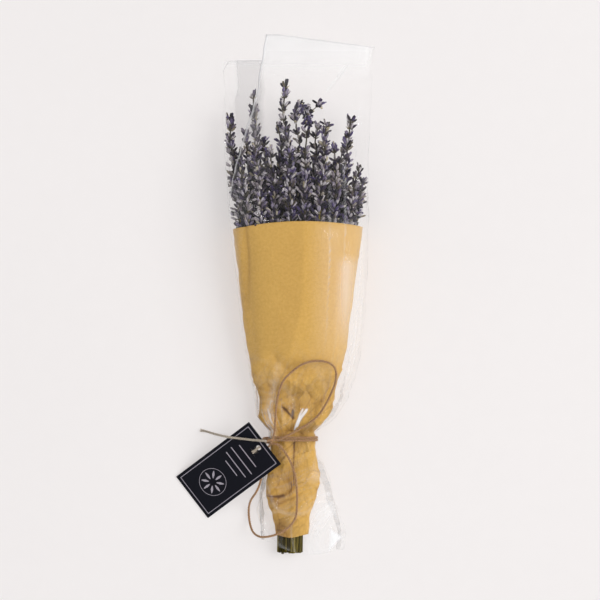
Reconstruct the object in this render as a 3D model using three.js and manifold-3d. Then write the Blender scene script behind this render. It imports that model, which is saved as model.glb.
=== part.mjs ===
// A bunch of dried lavender, laid flat. Olive stems carry purple flower spikes. A sheet of kraft paper
// is wrapped round the stems, a clear film sleeve goes over it, and jute twine gathers both at the
// neck and ties in a bow that also holds a swing tag.
// Millimetres. +Z is up and the surface is Z = 0. The tips point along +Y, and the origin lies under
// the middle of the bunch.

import * as THREE from 'three';
import { mergeVertices } from 'three/addons/utils/BufferGeometryUtils.js';
import Module from 'manifold-3d';

// Driving dimensions
const TIP_END = 247;
const CUT_END = -247;
const NECK_Y = -137;
const RIM_Y = 66;
const WALL = 0.8;
const GAP = 0.3;

const STEM_SIDE = 2.3;
const STEM_PITCH = 2.75;
const CALYXES = 5;
const WHORL_REACH = 6.6;
const FEWEST_WHORLS = 5;
const MOST_WHORLS = 7;
const SPIKE_FOOT = 63;

const TWINE = 2.4;
const BINDING_TURNS = 2;
const BINDING_STANDOFF = TWINE / 2 + 0.8;
const KNOT_ANGLE = 2.3;
const KNOT = new THREE.Vector3(-26, -138, 31.4);

const TAG_LENGTH = 94;
const TAG_WIDTH = 50;
const TAG_CARD = 0.8;
const TAG_HOLE = 5;
const TAG_HOLE_INSET = 8;
const TAG_CORNER = new THREE.Vector3(-32.5, -139.6, 32.5);
const TAG_HEADING = THREE.MathUtils.degToRad(217.5);
const TAG_PITCH = THREE.MathUtils.degToRad(20);

// The line that the sections are measured from: y, x
const AXIS = [[-247, -7], [-137, -7], [66, -1.9], [150, -1], [247, 0]];

// The sleeve's outline: y, left, right, underside, top. It lies flat from y -97 to 66, and both ends
// lift a little.
const FILM = [
  [-247, -38.5, 44.5, 0.8, 25],
  [-229, -41, 46.8, 0.8, 28],
  [-205, -43.5, 42.1, 0.8, 29],
  [-182, -41.1, 34.5, 0.8, 27.5],
  [-163, -35.6, 26.9, 0.9, 26],
  [-152, -33.4, 21, 2.4, 26.2],
  [-143, -32.2, 18, 3.9, 27],
  [-131.5, -32.2, 18, 3.9, 27],
  [-123, -38.5, 31, 2, 31.5],
  [-114, -45.2, 40.5, 0.6, 34.5],
  [-97, -47.3, 49.6, 0, 39.5],
  [-60, -51.8, 58.5, 0, 48],
  [-15, -57.6, 63.5, 0, 55],
  [30, -62.6, 65.9, 0, 60],
  [66, -66.4, 66.6, 0, 62.5],
  [105, -70.2, 67.4, 0.3, 60],
  [150, -73.5, 68.5, 0.9, 52],
  [190, -73.5, 70.5, 1.6, 42],
  [222, -73.5, 72.6, 2.2, 32],
  [236, -73.5, 73.5, 2.4, 28],
  [247, -73, 73.5, 2.6, 24],
];
const FILM_RINGS = [-212, -188, -163, -152, -143, -131.5, -123, -114, -97, -60, -15, 30, 66, 105, 150,
  190];

// The paper's outline: y, left, right, underside, top
const PAPER = [
  [-229, -24.2, 9.9, 2.1, 20],
  [-212, -25.5, 12.3, 2.1, 23],
  [-200, -28, 17, 2.1, 25],
  [-192, -30.7, 19.8, 2.4, 25.5],
  [-175, -32.6, 21.3, 2.6, 25],
  [-163, -31.8, 20.6, 2.8, 24.4],
  [-152, -31, 18.4, 4.2, 24.2],
  [-143, -30.3, 16.1, 5.6, 25],
  [-131.5, -30.3, 16.1, 5.6, 25],
  [-123, -36.9, 24.5, 3.8, 30],
  [-114, -43.6, 30.7, 2.3, 33],
  [-97, -45.7, 36.4, 1.6, 38],
  [-80, -47.6, 39.2, 1.4, 41.5],
  [-61, -49.6, 43.9, 1.3, 45.5],
  [-24, -54.3, 48.7, 1.3, 52],
  [14, -58.1, 54.3, 1.3, 57],
  [42, -61.5, 58.1, 1.3, 59.3],
  [70, -64.9, 61.4, 1.3, 60.8],
];
const PAPER_RINGS = [-212, -200, -188, -163, -152, -143, -131.5, -123, -114, -97, -70, -30, 20];

// The sheets' cut ends
const LAP_X = -34;
const MOUTH_LEVEL_X = -20;
const MOUTH_SLOPE = 0.125;
const LOW_LAYER_Y = 222;
const TURNED_CORNER = [-66, 211];
const FILM_FOOT = { y: -229, depth: 17, middleX: 15, width: 38 };
const PAPER_RIM = { y: 69, rise: 6, middleX: 4, halfWidth: 64 };
const PAPER_FOOT = { y: -229, wave: 1.5, width: 6 };

const FOLDS = 7;
const SIDES = FOLDS * 4;
const FOLD_DEPTH = [[-247, 1], [-190, 1.6], [-152, 3.4], [-123, 3.4], [-90, 1.4], [-40, 0]];
const BELLY = 0.46;
const ROUND = 0.84;
const SQUARE = 0.6;
const SAG = 1.12;

// Stems lie in three layers, the lowest first. A tip is x, y and the space between its whorls.
const LAYERS = [
  [[-58, 132, 10], [-40, 150, 10], [-24, 122, 9.5], [-9, 146, 10], [8, 136, 9.5], [24, 118, 9],
    [42, 142, 10], [56, 110, 8.5]],
  [[-67.6, 172.9, 12], [-51, 158, 11], [-34, 150, 10], [-19.5, 166, 11], [-1.4, 180.5, 11.5],
    [18.4, 184.3, 12.5], [34, 146, 10], [48.7, 171, 13], [61, 112, 9]],
  [[-57, 140, 10], [-44.9, 193.7, 13], [-27.9, 141.8, 10.5], [-11.8, 203.2, 14], [6.1, 157.8, 11],
    [26, 165.4, 12], [37, 129.5, 9.5], [56.5, 123.8, 9]],
];
// A whorl's rings as shares of its length and of its reach, along a calyx and between two of them
const CALYX_RIDGE = [[0, 0.2], [0.36, 0.66], [0.9, 1]];
const CALYX_VALLEY = [[0, 0.2], [0.3, 0.29], [0.62, 0.26]];
const CLOSED_TIP = 0.5;

const BUNDLE_X = -7.2;
const BUNDLE_Z = 15.4;
const CUT_DROP = 7;
const TIED = 15;
const RIM_X = -1.9;
const RIM_REACH = 53;
const LAYER_SPREAD = 0.28;
const NEAR = 5;
const EDGE_DROP = 0.4;

const COLOURS = {
  stem: ['#6e6a3a', 0.85], spike: ['#5d5470', 0.9], paper: ['#d3a765', 0.8], film: ['#eef0f0', 0.12],
  twine: ['#9a7a58', 0.95], tag: ['#14141f', 0.7],
};

// Routes of the free twine, from the knot outwards: x, y, z of its middle line
const UPPER_LOOP = [
  [-24.2, -132.9, 31.6], [-23.4, -127.5, 31.4], [-22.8, -118.1, 33.7], [-22.3, -109.6, 36.4],
  [-20.5, -96.4, 40.7], [-15.6, -81.3, 44.6], [-8, -72.8, 46.7], [1.4, -65.7, 48.1],
  [9.9, -62.6, 48.6], [19, -61.8, 48], [27.7, -63.7, 46.5], [32.6, -67.6, 44.5],
  [34.5, -73.7, 42.6], [33.5, -83.2, 40.5], [30.7, -90.7, 39.3], [27.7, -97.3, 38.2],
  [19, -112, 34.8], [9.4, -120.7, 32.6], [-4.3, -129, 31.4], [-11.8, -133, 32],
  [-17.5, -136, 31.9], [-20.6, -137.2, 31.6],
];
const LOWER_LOOP = [
  [-20.6, -140.9, 31], [-17.6, -143.8, 30.4], [-13.7, -148.5, 29.2], [-8, -158.8, 27.7],
  [-4.3, -170.1, 27.9], [-2.4, -186.2, 29.2], [-2.4, -198.4, 29.9], [-3.3, -208.8, 30.3],
  [-6.6, -215.5, 30.3], [-10.9, -220.2, 30], [-18.4, -224.9, 29.4], [-26, -227.7, 27.9],
  [-31.7, -228.9, 26], [-37.4, -228.9, 23.6], [-42.8, -226.5, 17.5], [-46.3, -221.1, 9.4],
  [-48.3, -212, 3.6], [-48.4, -203, 4.6], [-46.2, -195, 13], [-41.8, -188.1, 20.5],
  [-38.7, -182, 22.4], [-36.5, -174.8, 22], [-34.9, -165.4, 21.8], [-33.5, -156.5, 22.5],
  [-31.4, -149, 25.2], [-29.6, -143.9, 28.6],
];
const LEFT_TAIL = [
  [-30.9, -137.7, 34.2], [-35, -137.4, 35.3], [-40, -137.1, 34.1], [-46.8, -136.6, 32.2],
  [-56.2, -135.6, 29.6], [-66, -134.6, 26.9], [-71.5, -133.7, 23.7], [-77.4, -132.6, 18.3],
  [-83, -131.5, 11.8], [-88, -130.4, 5.8], [-91.8, -129.7, 2.5], [-95.2, -129.2, 1.6],
];
const SHORT_TAIL = [
  [-30.9, -139.2, 29.2], [-32.9, -140.4, 28.3], [-35, -141.7, 28], [-36.8, -143, 28.6],
  [-38.5, -144.2, 29.9], [-40.3, -145.6, 31.2], [-42.4, -147.2, 32], [-44.8, -149, 31.9],
];

// --- Smooth lines and the section of the wrap ---

// A smooth line through a table's rows that never overshoots them
function flow(rows, y, column) {
  const last = rows.length - 1;
  if (y <= rows[0][0]) return rows[0][column];
  if (y >= rows[last][0]) return rows[last][column];
  const slope = (i) => (rows[i + 1][column] - rows[i][column]) / (rows[i + 1][0] - rows[i][0]);
  const lean = (i) => {
    if (i === 0) return slope(0);
    if (i === last) return slope(last - 1);
    const product = slope(i - 1) * slope(i);
    return product > 0 ? 2 * product / (slope(i - 1) + slope(i)) : 0;
  };
  const k = rows.findIndex((row) => row[0] > y) - 1;
  const step = rows[k + 1][0] - rows[k][0];
  const u = (y - rows[k][0]) / step;
  const w = 1 - u;
  return rows[k][column] * w * w * (1 + 2 * u) + rows[k + 1][column] * u * u * (3 - 2 * u)
    + step * u * w * (lean(k) * w - lean(k + 1) * u);
}

// A point of the wrap's section at y: flat below, domed above, with folds drawn in near the neck
function section(edges, y, angle, inset = 0, folds = 1) {
  const [left, right, low, high] = [1, 2, 3, 4].map((column) => flow(edges, y, column));
  const axis = flow(AXIS, y, 1);
  const middle = low + (high - low) * BELLY;
  const across = Math.cos(angle);
  const up = Math.sin(angle);
  const reach = (across > 0 ? right - axis : axis - left) - inset;
  const rise = up > 0 ? high - middle - inset : (middle - low - inset) * SAG;
  const dx = Math.sign(across) * reach * Math.abs(across) ** ROUND;
  const dz = Math.sign(up) * rise * Math.abs(up) ** (up > 0 ? ROUND : SQUARE);
  const depth = folds * flow(FOLD_DEPTH, y, 1) * (1 - Math.cos(FOLDS * angle)) / 2;
  const draw = 1 - depth / Math.hypot(dx, dz);
  return new THREE.Vector3(axis + dx * draw, y, Math.max(middle + dz * draw, low + inset));
}

// Joins vertices that lie at one point and drops the faces that close up to nothing
function weld(geometry) {
  geometry.deleteAttribute('normal');
  geometry.deleteAttribute('uv');
  const merged = mergeVertices(geometry, 1e-4);
  const index = merged.getIndex().array;
  const kept = [];
  for (let face = 0; face < index.length; face += 3) {
    const [a, b, c] = index.slice(face, face + 3);
    if (a !== b && b !== c && c !== a) kept.push(a, b, c);
  }
  merged.setIndex(kept);
  merged.computeVertexNormals();
  return merged;
}

// A turned surface of so many rings and sides, each vertex then moved to where place says
function turned(rings, sides, place) {
  const profile = Array.from({ length: rings }, (_, ring) => new THREE.Vector2(1, ring));
  const geometry = new THREE.LatheGeometry(profile, sides);
  const position = geometry.getAttribute('position');
  for (let side = 0; side <= sides; side += 1) {
    for (let ring = 0; ring < rings; ring += 1) {
      const spot = place(ring, (sides - side) % sides);
      position.setXYZ(side * rings + ring, spot.x, spot.y, spot.z);
    }
  }
  return weld(geometry);
}

// --- The wrap ---

// A wall of even thickness: up the outside, over the mouth, down the inside and round the foot
function shell(edges, inner, footAt, mouthAt) {
  const count = inner.length + 2;
  const place = (ring, side) => {
    const angle = 2 * Math.PI * side / SIDES;
    const loop = ring % (2 * count);
    const inside = loop >= count;
    const level = inside ? 2 * count - 1 - loop : loop;
    let y = inner[level - 1];
    if (level === 0) y = footAt(section(edges, inner[0], angle));
    if (level === count - 1) y = mouthAt(section(edges, inner[inner.length - 1], angle));
    return section(edges, y, angle, inside ? WALL : 0);
  };
  return turned(2 * count + 1, SIDES, place);
}

// The sleeve's cut edge falls away to the right, and steps down at the left where the upper layer ends
function filmMouth(at) {
  if (at.x > LAP_X) return TIP_END - MOUTH_SLOPE * Math.max(0, at.x - MOUTH_LEVEL_X);
  const [cornerX, cornerY] = TURNED_CORNER;
  return at.x < cornerX ? cornerY : LOW_LAYER_Y;
}

function filmFoot(at) {
  const { y, depth, middleX, width } = FILM_FOOT;
  return Math.max(CUT_END, y - depth * Math.cos((at.x - middleX) / width));
}

function paperMouth(at) {
  const { y, rise, middleX, halfWidth } = PAPER_RIM;
  return y - rise * ((at.x - middleX) / halfWidth) ** 2;
}

function paperFoot(at) {
  return PAPER_FOOT.y + PAPER_FOOT.wave * Math.sin(at.x / PAPER_FOOT.width);
}

// --- Sprigs ---

// Where a sprig's middle line runs: gathered in the bundle, then fanned out to its tip
function sprigLine(layer, column, [tipX, tipY]) {
  const half = (LAYERS[layer].length - 1) / 2;
  const across = (column - half) / 4;
  const deep = (layer - 1) * STEM_PITCH;
  const bundleX = BUNDLE_X + (column - half) * STEM_PITCH;
  const lift = (y) => {
    const top = flow(FILM, y, 4);
    return top * (0.5 + (layer - 1) * LAYER_SPREAD * (1 - EDGE_DROP * across * across));
  };
  const tiedZ = BUNDLE_Z + deep;
  const x = [[CUT_END, bundleX - 2], [NECK_Y - TIED, bundleX - 0.5], [NECK_Y, bundleX],
    [NECK_Y + TIED, bundleX + 0.5], [RIM_Y, RIM_X + RIM_REACH * across], [tipY, tipX]];
  const z = [[CUT_END, tiedZ - CUT_DROP], [NECK_Y - TIED, tiedZ - 0.8], [NECK_Y, tiedZ],
    [NECK_Y + TIED, tiedZ + 0.8], [RIM_Y, lift(RIM_Y)], [tipY, lift(tipY)]];
  return (y) => new THREE.Vector3(flow(x, y, 1), y, flow(z, y, 1));
}

function makeSprigs() {
  const sprigs = [];
  LAYERS.forEach((tips, layer) => tips.forEach((tip, column) => {
    const [, tipY, pitch] = tip;
    const whorls = THREE.MathUtils.clamp(Math.round((tipY - SPIKE_FOOT) / pitch),
      FEWEST_WHORLS, MOST_WHORLS);
    const base = tipY - whorls * pitch;
    sprigs.push({ line: sprigLine(layer, column, tip), tipY, pitch, whorls, base });
  }));
  return sprigs;
}

// How far a sprig may reach out at y before it meets a neighbour or the wrap
function roomAt(sprig, sprigs, y) {
  const here = sprig.line(y);
  let room = WHORL_REACH;
  for (const other of sprigs) {
    if (other === sprig || y > other.tipY + 1) continue;
    const apart = here.distanceTo(other.line(y)) - GAP;
    room = Math.min(room, y > other.base - NEAR ? apart / 2 : apart - STEM_SIDE * 0.75);
  }
  const wrap = y < RIM_Y + NEAR ? PAPER : FILM;
  const wall = Array.from({ length: SIDES }, (_, side) => section(wrap, y, 2 * Math.PI * side / SIDES, WALL));
  wall.forEach((start, side) => {
    const nearest = new THREE.Line3(start, wall[(side + 1) % SIDES]).closestPointToPoint(here, true,
      new THREE.Vector3());
    room = Math.min(room, here.distanceTo(nearest) - 2 * GAP);
  });
  return room;
}

// A square stem from its cut end to just under its spike
function stem(sprig) {
  const top = sprig.base - GAP;
  const levels = [CUT_END, NECK_Y - 2 * TIED, NECK_Y, -88, -20, (top - 20) / 2, top];
  const rings = levels.length + 2;
  return turned(rings, 4, (ring, side) => {
    const level = THREE.MathUtils.clamp(ring - 1, 0, levels.length - 1);
    const spot = sprig.line(levels[level]);
    if (ring === 0 || ring === rings - 1) return spot;
    const angle = Math.PI / 4 + Math.PI * side / 2;
    spot.x += STEM_SIDE * Math.SQRT1_2 * Math.cos(angle);
    spot.z += STEM_SIDE * Math.SQRT1_2 * Math.sin(angle);
    return spot;
  });
}

// A spike: whorls of pointed calyxes raised from a slim core, each whorl turned from the last
function spike(sprig, sprigs) {
  const reach = Array.from({ length: sprig.whorls }, (_, whorl) => {
    const share = (whorl + 0.5) / sprig.whorls;
    const full = WHORL_REACH * Math.min(1, 0.62 + 1.5 * share, 1.5 - 0.9 * share);
    const start = sprig.base + whorl * sprig.pitch;
    return Math.min(full, roomAt(sprig, sprigs, start), roomAt(sprig, sprigs, start + sprig.pitch));
  });
  const levels = CALYX_RIDGE.length;
  const rings = levels * sprig.whorls + 2;
  return turned(rings, 2 * CALYXES, (ring, side) => {
    if (ring === 0) return sprig.line(sprig.base);
    if (ring === rings - 1) return sprig.line(sprig.tipY);
    const whorl = Math.floor((ring - 1) / levels);
    const level = (ring - 1) % levels;
    const [along, out] = ((side + whorl) % 2 ? CALYX_VALLEY : CALYX_RIDGE)[level];
    const radius = reach[whorl] * out * (ring === rings - 2 ? CLOSED_TIP : 1);
    const spot = sprig.line(sprig.base + (whorl + along) * sprig.pitch);
    const angle = Math.PI * side / CALYXES;
    spot.x += radius * Math.cos(angle);
    spot.z += radius * Math.sin(angle);
    return spot;
  });
}

// --- Twine and tag ---

function cord(points, steps, sides) {
  const ring = Array.from({ length: sides }, (_, side) => {
    const angle = 2 * Math.PI * side / sides;
    return new THREE.Vector2(TWINE / 2 * Math.cos(angle), TWINE / 2 * Math.sin(angle));
  });
  const extrudePath = new THREE.CatmullRomCurve3(points.map((point) => new THREE.Vector3(...point)));
  return weld(new THREE.ExtrudeGeometry(new THREE.Shape(ring), { steps, extrudePath, bevelEnabled: false }));
}

// Two turns round the neck that start and end under the knot
function binding() {
  const points = 24 * BINDING_TURNS;
  const route = Array.from({ length: points + 1 }, (_, k) => {
    const turns = BINDING_TURNS * k / points;
    const at = section(FILM, NECK_Y, KNOT_ANGLE + 2 * Math.PI * turns, -BINDING_STANDOFF, 0);
    return [at.x, NECK_Y + (TWINE + 2 * GAP) * (turns - BINDING_TURNS / 2), at.z];
  });
  return cord(route, 38, 6);
}

const wasm = await Module();
wasm.setup();

function toSolid(geometry) {
  const welded = weld(geometry);
  const vertProperties = new Float32Array(welded.getAttribute('position').array);
  const triVerts = new Uint32Array(welded.getIndex().array);
  return new wasm.Manifold(new wasm.Mesh({ numProp: 3, vertProperties, triVerts }));
}

function toGeometry(solid) {
  const { vertProperties, triVerts } = solid.getMesh();
  const geometry = new THREE.BufferGeometry();
  geometry.setAttribute('position', new THREE.BufferAttribute(vertProperties, 3));
  geometry.setIndex(Array.from(triVerts));
  geometry.computeVertexNormals();
  return geometry;
}

// The bow's knot: a pulled-tight body with one strand wrapped across it
function knot() {
  const body = new THREE.SphereGeometry(1, 10, 7).scale(4.6, 3.5, 2.9);
  const wrap = new THREE.TorusGeometry(3.1, TWINE / 2, 6, 12).scale(1.12, 0.8, 1).rotateX(Math.PI / 2)
    .rotateZ(1.1);
  return toGeometry(toSolid(body).add(toSolid(wrap)));
}

// The swing tag: a card with one punched hole
function tag() {
  const half = TAG_WIDTH / 2;
  const card = new THREE.Shape([[0, -half], [TAG_LENGTH, -half], [TAG_LENGTH, half], [0, half]]
    .map(([x, y]) => new THREE.Vector2(x, y)));
  card.holes.push(new THREE.Path().absarc(TAG_HOLE_INSET, 0, TAG_HOLE / 2, 0, 2 * Math.PI, true));
  return new THREE.ExtrudeGeometry(card, { depth: TAG_CARD, bevelEnabled: false, curveSegments: 8 });
}

// --- The bunch ---

const bunch = new THREE.Group();

function add(name, geometry, finish) {
  const [color, roughness] = COLOURS[finish];
  const material = new THREE.MeshStandardMaterial({ color, roughness, metalness: 0 });
  const mesh = new THREE.Mesh(geometry, material);
  mesh.name = name;
  bunch.add(mesh);
  return mesh;
}

const sprigs = makeSprigs();
sprigs.forEach((sprig, index) => {
  const number = String(index + 1).padStart(2, '0');
  add(`stem_${number}`, stem(sprig), 'stem');
  add(`spike_${number}`, spike(sprig, sprigs), 'spike');
});

add('paper_wrap', shell(PAPER, PAPER_RINGS, paperFoot, paperMouth), 'paper');
add('film_sleeve', shell(FILM, FILM_RINGS, filmFoot, filmMouth), 'film');
add('twine_binding', binding(), 'twine');
add('twine_knot', knot(), 'twine').position.copy(KNOT);
add('twine_loop_upper', cord(UPPER_LOOP, 28, 8), 'twine');
add('twine_loop_lower', cord(LOWER_LOOP, 32, 8), 'twine');
add('twine_tail_left', cord(LEFT_TAIL, 12, 8), 'twine');
add('twine_tail_short', cord(SHORT_TAIL, 7, 8), 'twine');

const swingTag = add('tag', tag(), 'tag');
swingTag.rotation.set(0, TAG_PITCH, TAG_HEADING, 'ZYX');
swingTag.position.copy(TAG_CORNER);

export default bunch;
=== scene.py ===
# %% [markdown]
# A bunch of dried lavender, laid flat and seen from above.
# The solid model of the bunch is loaded first and stays fixed. It gives the true size and place of every
# piece, so each detailed piece made here only has to fill the space of its plain solid.
# Everything is in metres: +Y runs to the flower tips, +Z is up, and the surface is Z = 0.

# %% Load the solid model
import math

import bpy
import numpy as np
from mathutils import Matrix, Vector


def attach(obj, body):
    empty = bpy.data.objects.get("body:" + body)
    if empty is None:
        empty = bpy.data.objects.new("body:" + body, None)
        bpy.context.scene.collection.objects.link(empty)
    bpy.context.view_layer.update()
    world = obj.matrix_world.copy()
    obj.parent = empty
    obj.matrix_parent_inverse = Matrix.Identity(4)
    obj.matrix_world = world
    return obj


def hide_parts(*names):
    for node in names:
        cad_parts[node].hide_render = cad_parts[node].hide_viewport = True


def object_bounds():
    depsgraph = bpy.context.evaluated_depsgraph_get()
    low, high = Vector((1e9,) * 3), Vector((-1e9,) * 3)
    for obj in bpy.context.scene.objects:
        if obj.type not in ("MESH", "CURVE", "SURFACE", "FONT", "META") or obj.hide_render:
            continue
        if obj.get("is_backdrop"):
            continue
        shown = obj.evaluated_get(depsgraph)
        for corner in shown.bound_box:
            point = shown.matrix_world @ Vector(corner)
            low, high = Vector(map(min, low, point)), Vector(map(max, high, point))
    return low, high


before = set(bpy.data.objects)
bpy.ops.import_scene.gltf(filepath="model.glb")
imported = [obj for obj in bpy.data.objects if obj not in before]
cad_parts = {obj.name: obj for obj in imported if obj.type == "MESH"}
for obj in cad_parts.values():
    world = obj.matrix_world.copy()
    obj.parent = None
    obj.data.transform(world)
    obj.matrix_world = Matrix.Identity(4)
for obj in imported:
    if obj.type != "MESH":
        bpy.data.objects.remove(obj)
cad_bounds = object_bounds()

print("Loaded", len(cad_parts), "solids")

# %% [markdown]
# The photo is a flat lay, taken from straight above with little perspective. A long lens held high up
# gives that. The view is 567 mm wide at the middle of the bunch's height, and the picture is square.

# %% Camera
VIEW_WIDTH = 0.567
VIEW_MIDDLE = (0.0005, -0.0047, 0.03)
LENS = 150.0
SENSOR = 36.0
FAR_END = 30

camera_data = bpy.data.cameras.new("camera")
camera_data.lens = LENS
camera_data.sensor_width = SENSOR
camera = bpy.data.objects.new("camera", camera_data)
bpy.context.scene.collection.objects.link(camera)
camera.location = Vector(VIEW_MIDDLE) + Vector((0, 0, VIEW_WIDTH * LENS / SENSOR))
camera_data.clip_end = FAR_END
bpy.context.scene.camera = camera
print("The camera looks down from", round(camera.location.z, 2), "m")

# %% [markdown]
# The wrap's outline is a table of widths and heights along the bunch. A smooth line runs through the
# rows of a table without ever overshooting them, which a plain spline would do at the tight neck.

# %% A smooth line through a table
def flow(rows, y, column):
    """The value in a column of the table at y, for one y or for an array of them."""
    at = np.array([row[0] for row in rows])
    value = np.array([row[column] for row in rows])
    y = np.clip(y, at[0], at[-1])
    slope = np.diff(value) / np.diff(at)
    product = slope[:-1] * slope[1:]
    total = np.where(product > 0, slope[:-1] + slope[1:], 1)
    lean = np.concatenate([slope[:1], np.where(product > 0, 2 * product / total, 0), slope[-1:]])
    k = np.clip(np.searchsorted(at, y, side="right") - 1, 0, len(at) - 2)
    step = at[k + 1] - at[k]
    u = (y - at[k]) / step
    w = 1 - u
    ends = value[k] * w * w * (1 + 2 * u) + value[k + 1] * u * u * (3 - 2 * u)
    return ends + step * u * w * (lean[k] * w - lean[k + 1] * u)


print("Tables are read with a line that doesn't overshoot")

# %% [markdown]
# Next come the outlines of the clear sleeve and of the paper inside it. Each row is a place along the
# bunch, then how far the sheet reaches to the left and right, and its underside and top. A section
# between these four is round on top and flat below, where the bunch lies on the surface.

# %% The wrap's outlines
AXIS = [(-0.247, -0.007), (-0.137, -0.007), (0.066, -0.0019), (0.15, -0.001), (0.247, 0)]
FILM = [
    (-0.247, -0.0385, 0.0445, 0.0008, 0.025), (-0.229, -0.041, 0.0468, 0.0008, 0.028),
    (-0.205, -0.0435, 0.0421, 0.0008, 0.029), (-0.182, -0.0411, 0.0345, 0.0008, 0.0275),
    (-0.163, -0.0356, 0.0269, 0.0009, 0.026), (-0.152, -0.0334, 0.021, 0.0024, 0.0262),
    (-0.143, -0.0322, 0.018, 0.0039, 0.027), (-0.1315, -0.0322, 0.018, 0.0039, 0.027),
    (-0.123, -0.0385, 0.031, 0.002, 0.0315), (-0.114, -0.0452, 0.0405, 0.0006, 0.0345),
    (-0.097, -0.0473, 0.0496, 0, 0.0395), (-0.06, -0.0518, 0.0585, 0, 0.048),
    (-0.015, -0.0576, 0.0635, 0, 0.055), (0.03, -0.0626, 0.0659, 0, 0.06),
    (0.066, -0.0664, 0.0666, 0, 0.0625), (0.105, -0.0702, 0.0674, 0.0003, 0.06),
    (0.15, -0.0735, 0.0685, 0.0009, 0.052), (0.19, -0.0735, 0.0705, 0.0016, 0.042),
    (0.222, -0.0735, 0.0726, 0.0022, 0.032), (0.236, -0.0735, 0.0735, 0.0024, 0.028),
    (0.247, -0.073, 0.0735, 0.0026, 0.024),
]
PAPER = [
    (-0.229, -0.0242, 0.0099, 0.0021, 0.02), (-0.212, -0.0255, 0.0123, 0.0021, 0.023),
    (-0.2, -0.028, 0.017, 0.0021, 0.025), (-0.192, -0.0307, 0.0198, 0.0024, 0.0255),
    (-0.175, -0.0326, 0.0213, 0.0026, 0.025), (-0.163, -0.0318, 0.0206, 0.0028, 0.0244),
    (-0.152, -0.031, 0.0184, 0.0042, 0.0242), (-0.143, -0.0303, 0.0161, 0.0056, 0.025),
    (-0.1315, -0.0303, 0.0161, 0.0056, 0.025), (-0.123, -0.0369, 0.0245, 0.0038, 0.03),
    (-0.114, -0.0436, 0.0307, 0.0023, 0.033), (-0.097, -0.0457, 0.0364, 0.0016, 0.038),
    (-0.08, -0.0476, 0.0392, 0.0014, 0.0415), (-0.061, -0.0496, 0.0439, 0.0013, 0.0455),
    (-0.024, -0.0543, 0.0487, 0.0013, 0.052), (0.014, -0.0581, 0.0543, 0.0013, 0.057),
    (0.042, -0.0615, 0.0581, 0.0013, 0.0593), (0.07, -0.0649, 0.0614, 0.0013, 0.0608),
]
FOLDS = 7
FOLD_DEPTH = [(-0.247, 0.001), (-0.19, 0.0016), (-0.152, 0.0034), (-0.123, 0.0034), (-0.09, 0.0014),
              (-0.04, 0)]
# A section is widest at BELLY of its height. The powers ROUND and SQUARE shape its top and underside.
# SAG swells the underside past its lowest height, where it is then cut flat.
BELLY, ROUND, SQUARE, SAG = 0.46, 0.84, 0.6, 1.12
NECK_Y = -0.137


def extent(edges, y):
    """A wrap's section at y: its axis and middle height, then its left, right, underside and top."""
    left, right, low, high = (flow(edges, y, column) for column in (1, 2, 3, 4))
    return flow(AXIS, y, 1), low + (high - low) * BELLY, left, right, low, high


def section(edges, y, angle, inset=0.0, depth=0.0):
    """Points of a wrap's section at y: flat below, domed above, and drawn in by depth."""
    axis, middle, left, right, low, high = extent(edges, y)
    across, up = np.cos(angle), np.sin(angle)
    reach = np.where(across > 0, right - axis, axis - left) - inset
    rise = np.where(up > 0, high - middle - inset, (middle - low - inset) * SAG)
    dx = np.sign(across) * reach * np.abs(across) ** ROUND
    dz = np.sign(up) * rise * np.abs(up) ** np.where(up > 0, ROUND, SQUARE)
    draw = 1 - depth / np.hypot(dx, dz)
    spot = (axis + dx * draw, y + 0 * dx, np.maximum(middle + dz * draw, low + inset))
    return np.stack(np.broadcast_arrays(*spot), axis=-1)


def gather(y, angle):
    """How far the seven folds at the neck draw the wrap in."""
    return flow(FOLD_DEPTH, y, 1) * (1 - np.cos(FOLDS * angle)) / 2


print("The mouth of the sleeve is", round(FILM[-1][2] - FILM[-1][1], 3), "m wide")

# %% [markdown]
# A cord needs a middle line to be built round. It could be a curve object, but a list of even steps is
# easier to build on. So a smooth curve is drawn through given points and cut into steps, and each step
# gets two side directions that turn as little as possible.

# %% A smooth curve through given points
CURVE_PARTS = 12


def travelled(points):
    """How far along a line each of its points is."""
    return np.concatenate([[0], np.cumsum(np.linalg.norm(np.diff(points, axis=0), axis=1))])


def smooth_route(points, step):
    """Evenly spaced points of a centripetal Catmull-Rom curve, and its length."""
    knots = [Vector(point) for point in points]
    knots = [2 * knots[0] - knots[1], *knots, 2 * knots[-1] - knots[-2]]
    fine = []
    for a, b, c, d in zip(knots, knots[1:], knots[2:], knots[3:]):
        t1 = (b - a).length ** 0.5
        t2 = t1 + (c - b).length ** 0.5
        t3 = t2 + (d - c).length ** 0.5
        for k in range(CURVE_PARTS):
            t = t1 + (t2 - t1) * k / CURVE_PARTS
            ab, bc, cd = a.lerp(b, t / t1), b.lerp(c, (t - t1) / (t2 - t1)), c.lerp(d, (t - t2) / (t3 - t2))
            fine.append(ab.lerp(bc, t / t2).lerp(bc.lerp(cd, (t - t1) / (t3 - t1)), (t - t1) / (t2 - t1)))
    fine = np.array([*fine, knots[-2]])
    travel = travelled(fine)
    even = np.linspace(0, travel[-1], max(4, round(travel[-1] / step)) + 1)
    return np.stack([np.interp(even, travel, fine[:, axis]) for axis in range(3)], axis=1), travel[-1]


def frames_along(route):
    """The direction ahead at each point of the route, and two side directions."""
    ahead = np.gradient(route, axis=0)
    ahead /= np.linalg.norm(ahead, axis=1)[:, None]
    side = np.cross(ahead[0], (0, 0, 1) if abs(ahead[0][2]) < 0.9 else (1, 0, 0))
    sides = []
    for direction in ahead:
        side = side - direction * (side @ direction)
        side /= np.linalg.norm(side)
        sides.append(side)
    sides = np.array(sides)
    return ahead, sides, np.cross(ahead, sides)


print("Between two points a curve has", CURVE_PARTS, "parts")

# %% [markdown]
# Small parts that repeat are gathered into one mesh, straight from their points and faces. The mesh also
# carries named values at its points, which tell its finish what lies there.

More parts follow.
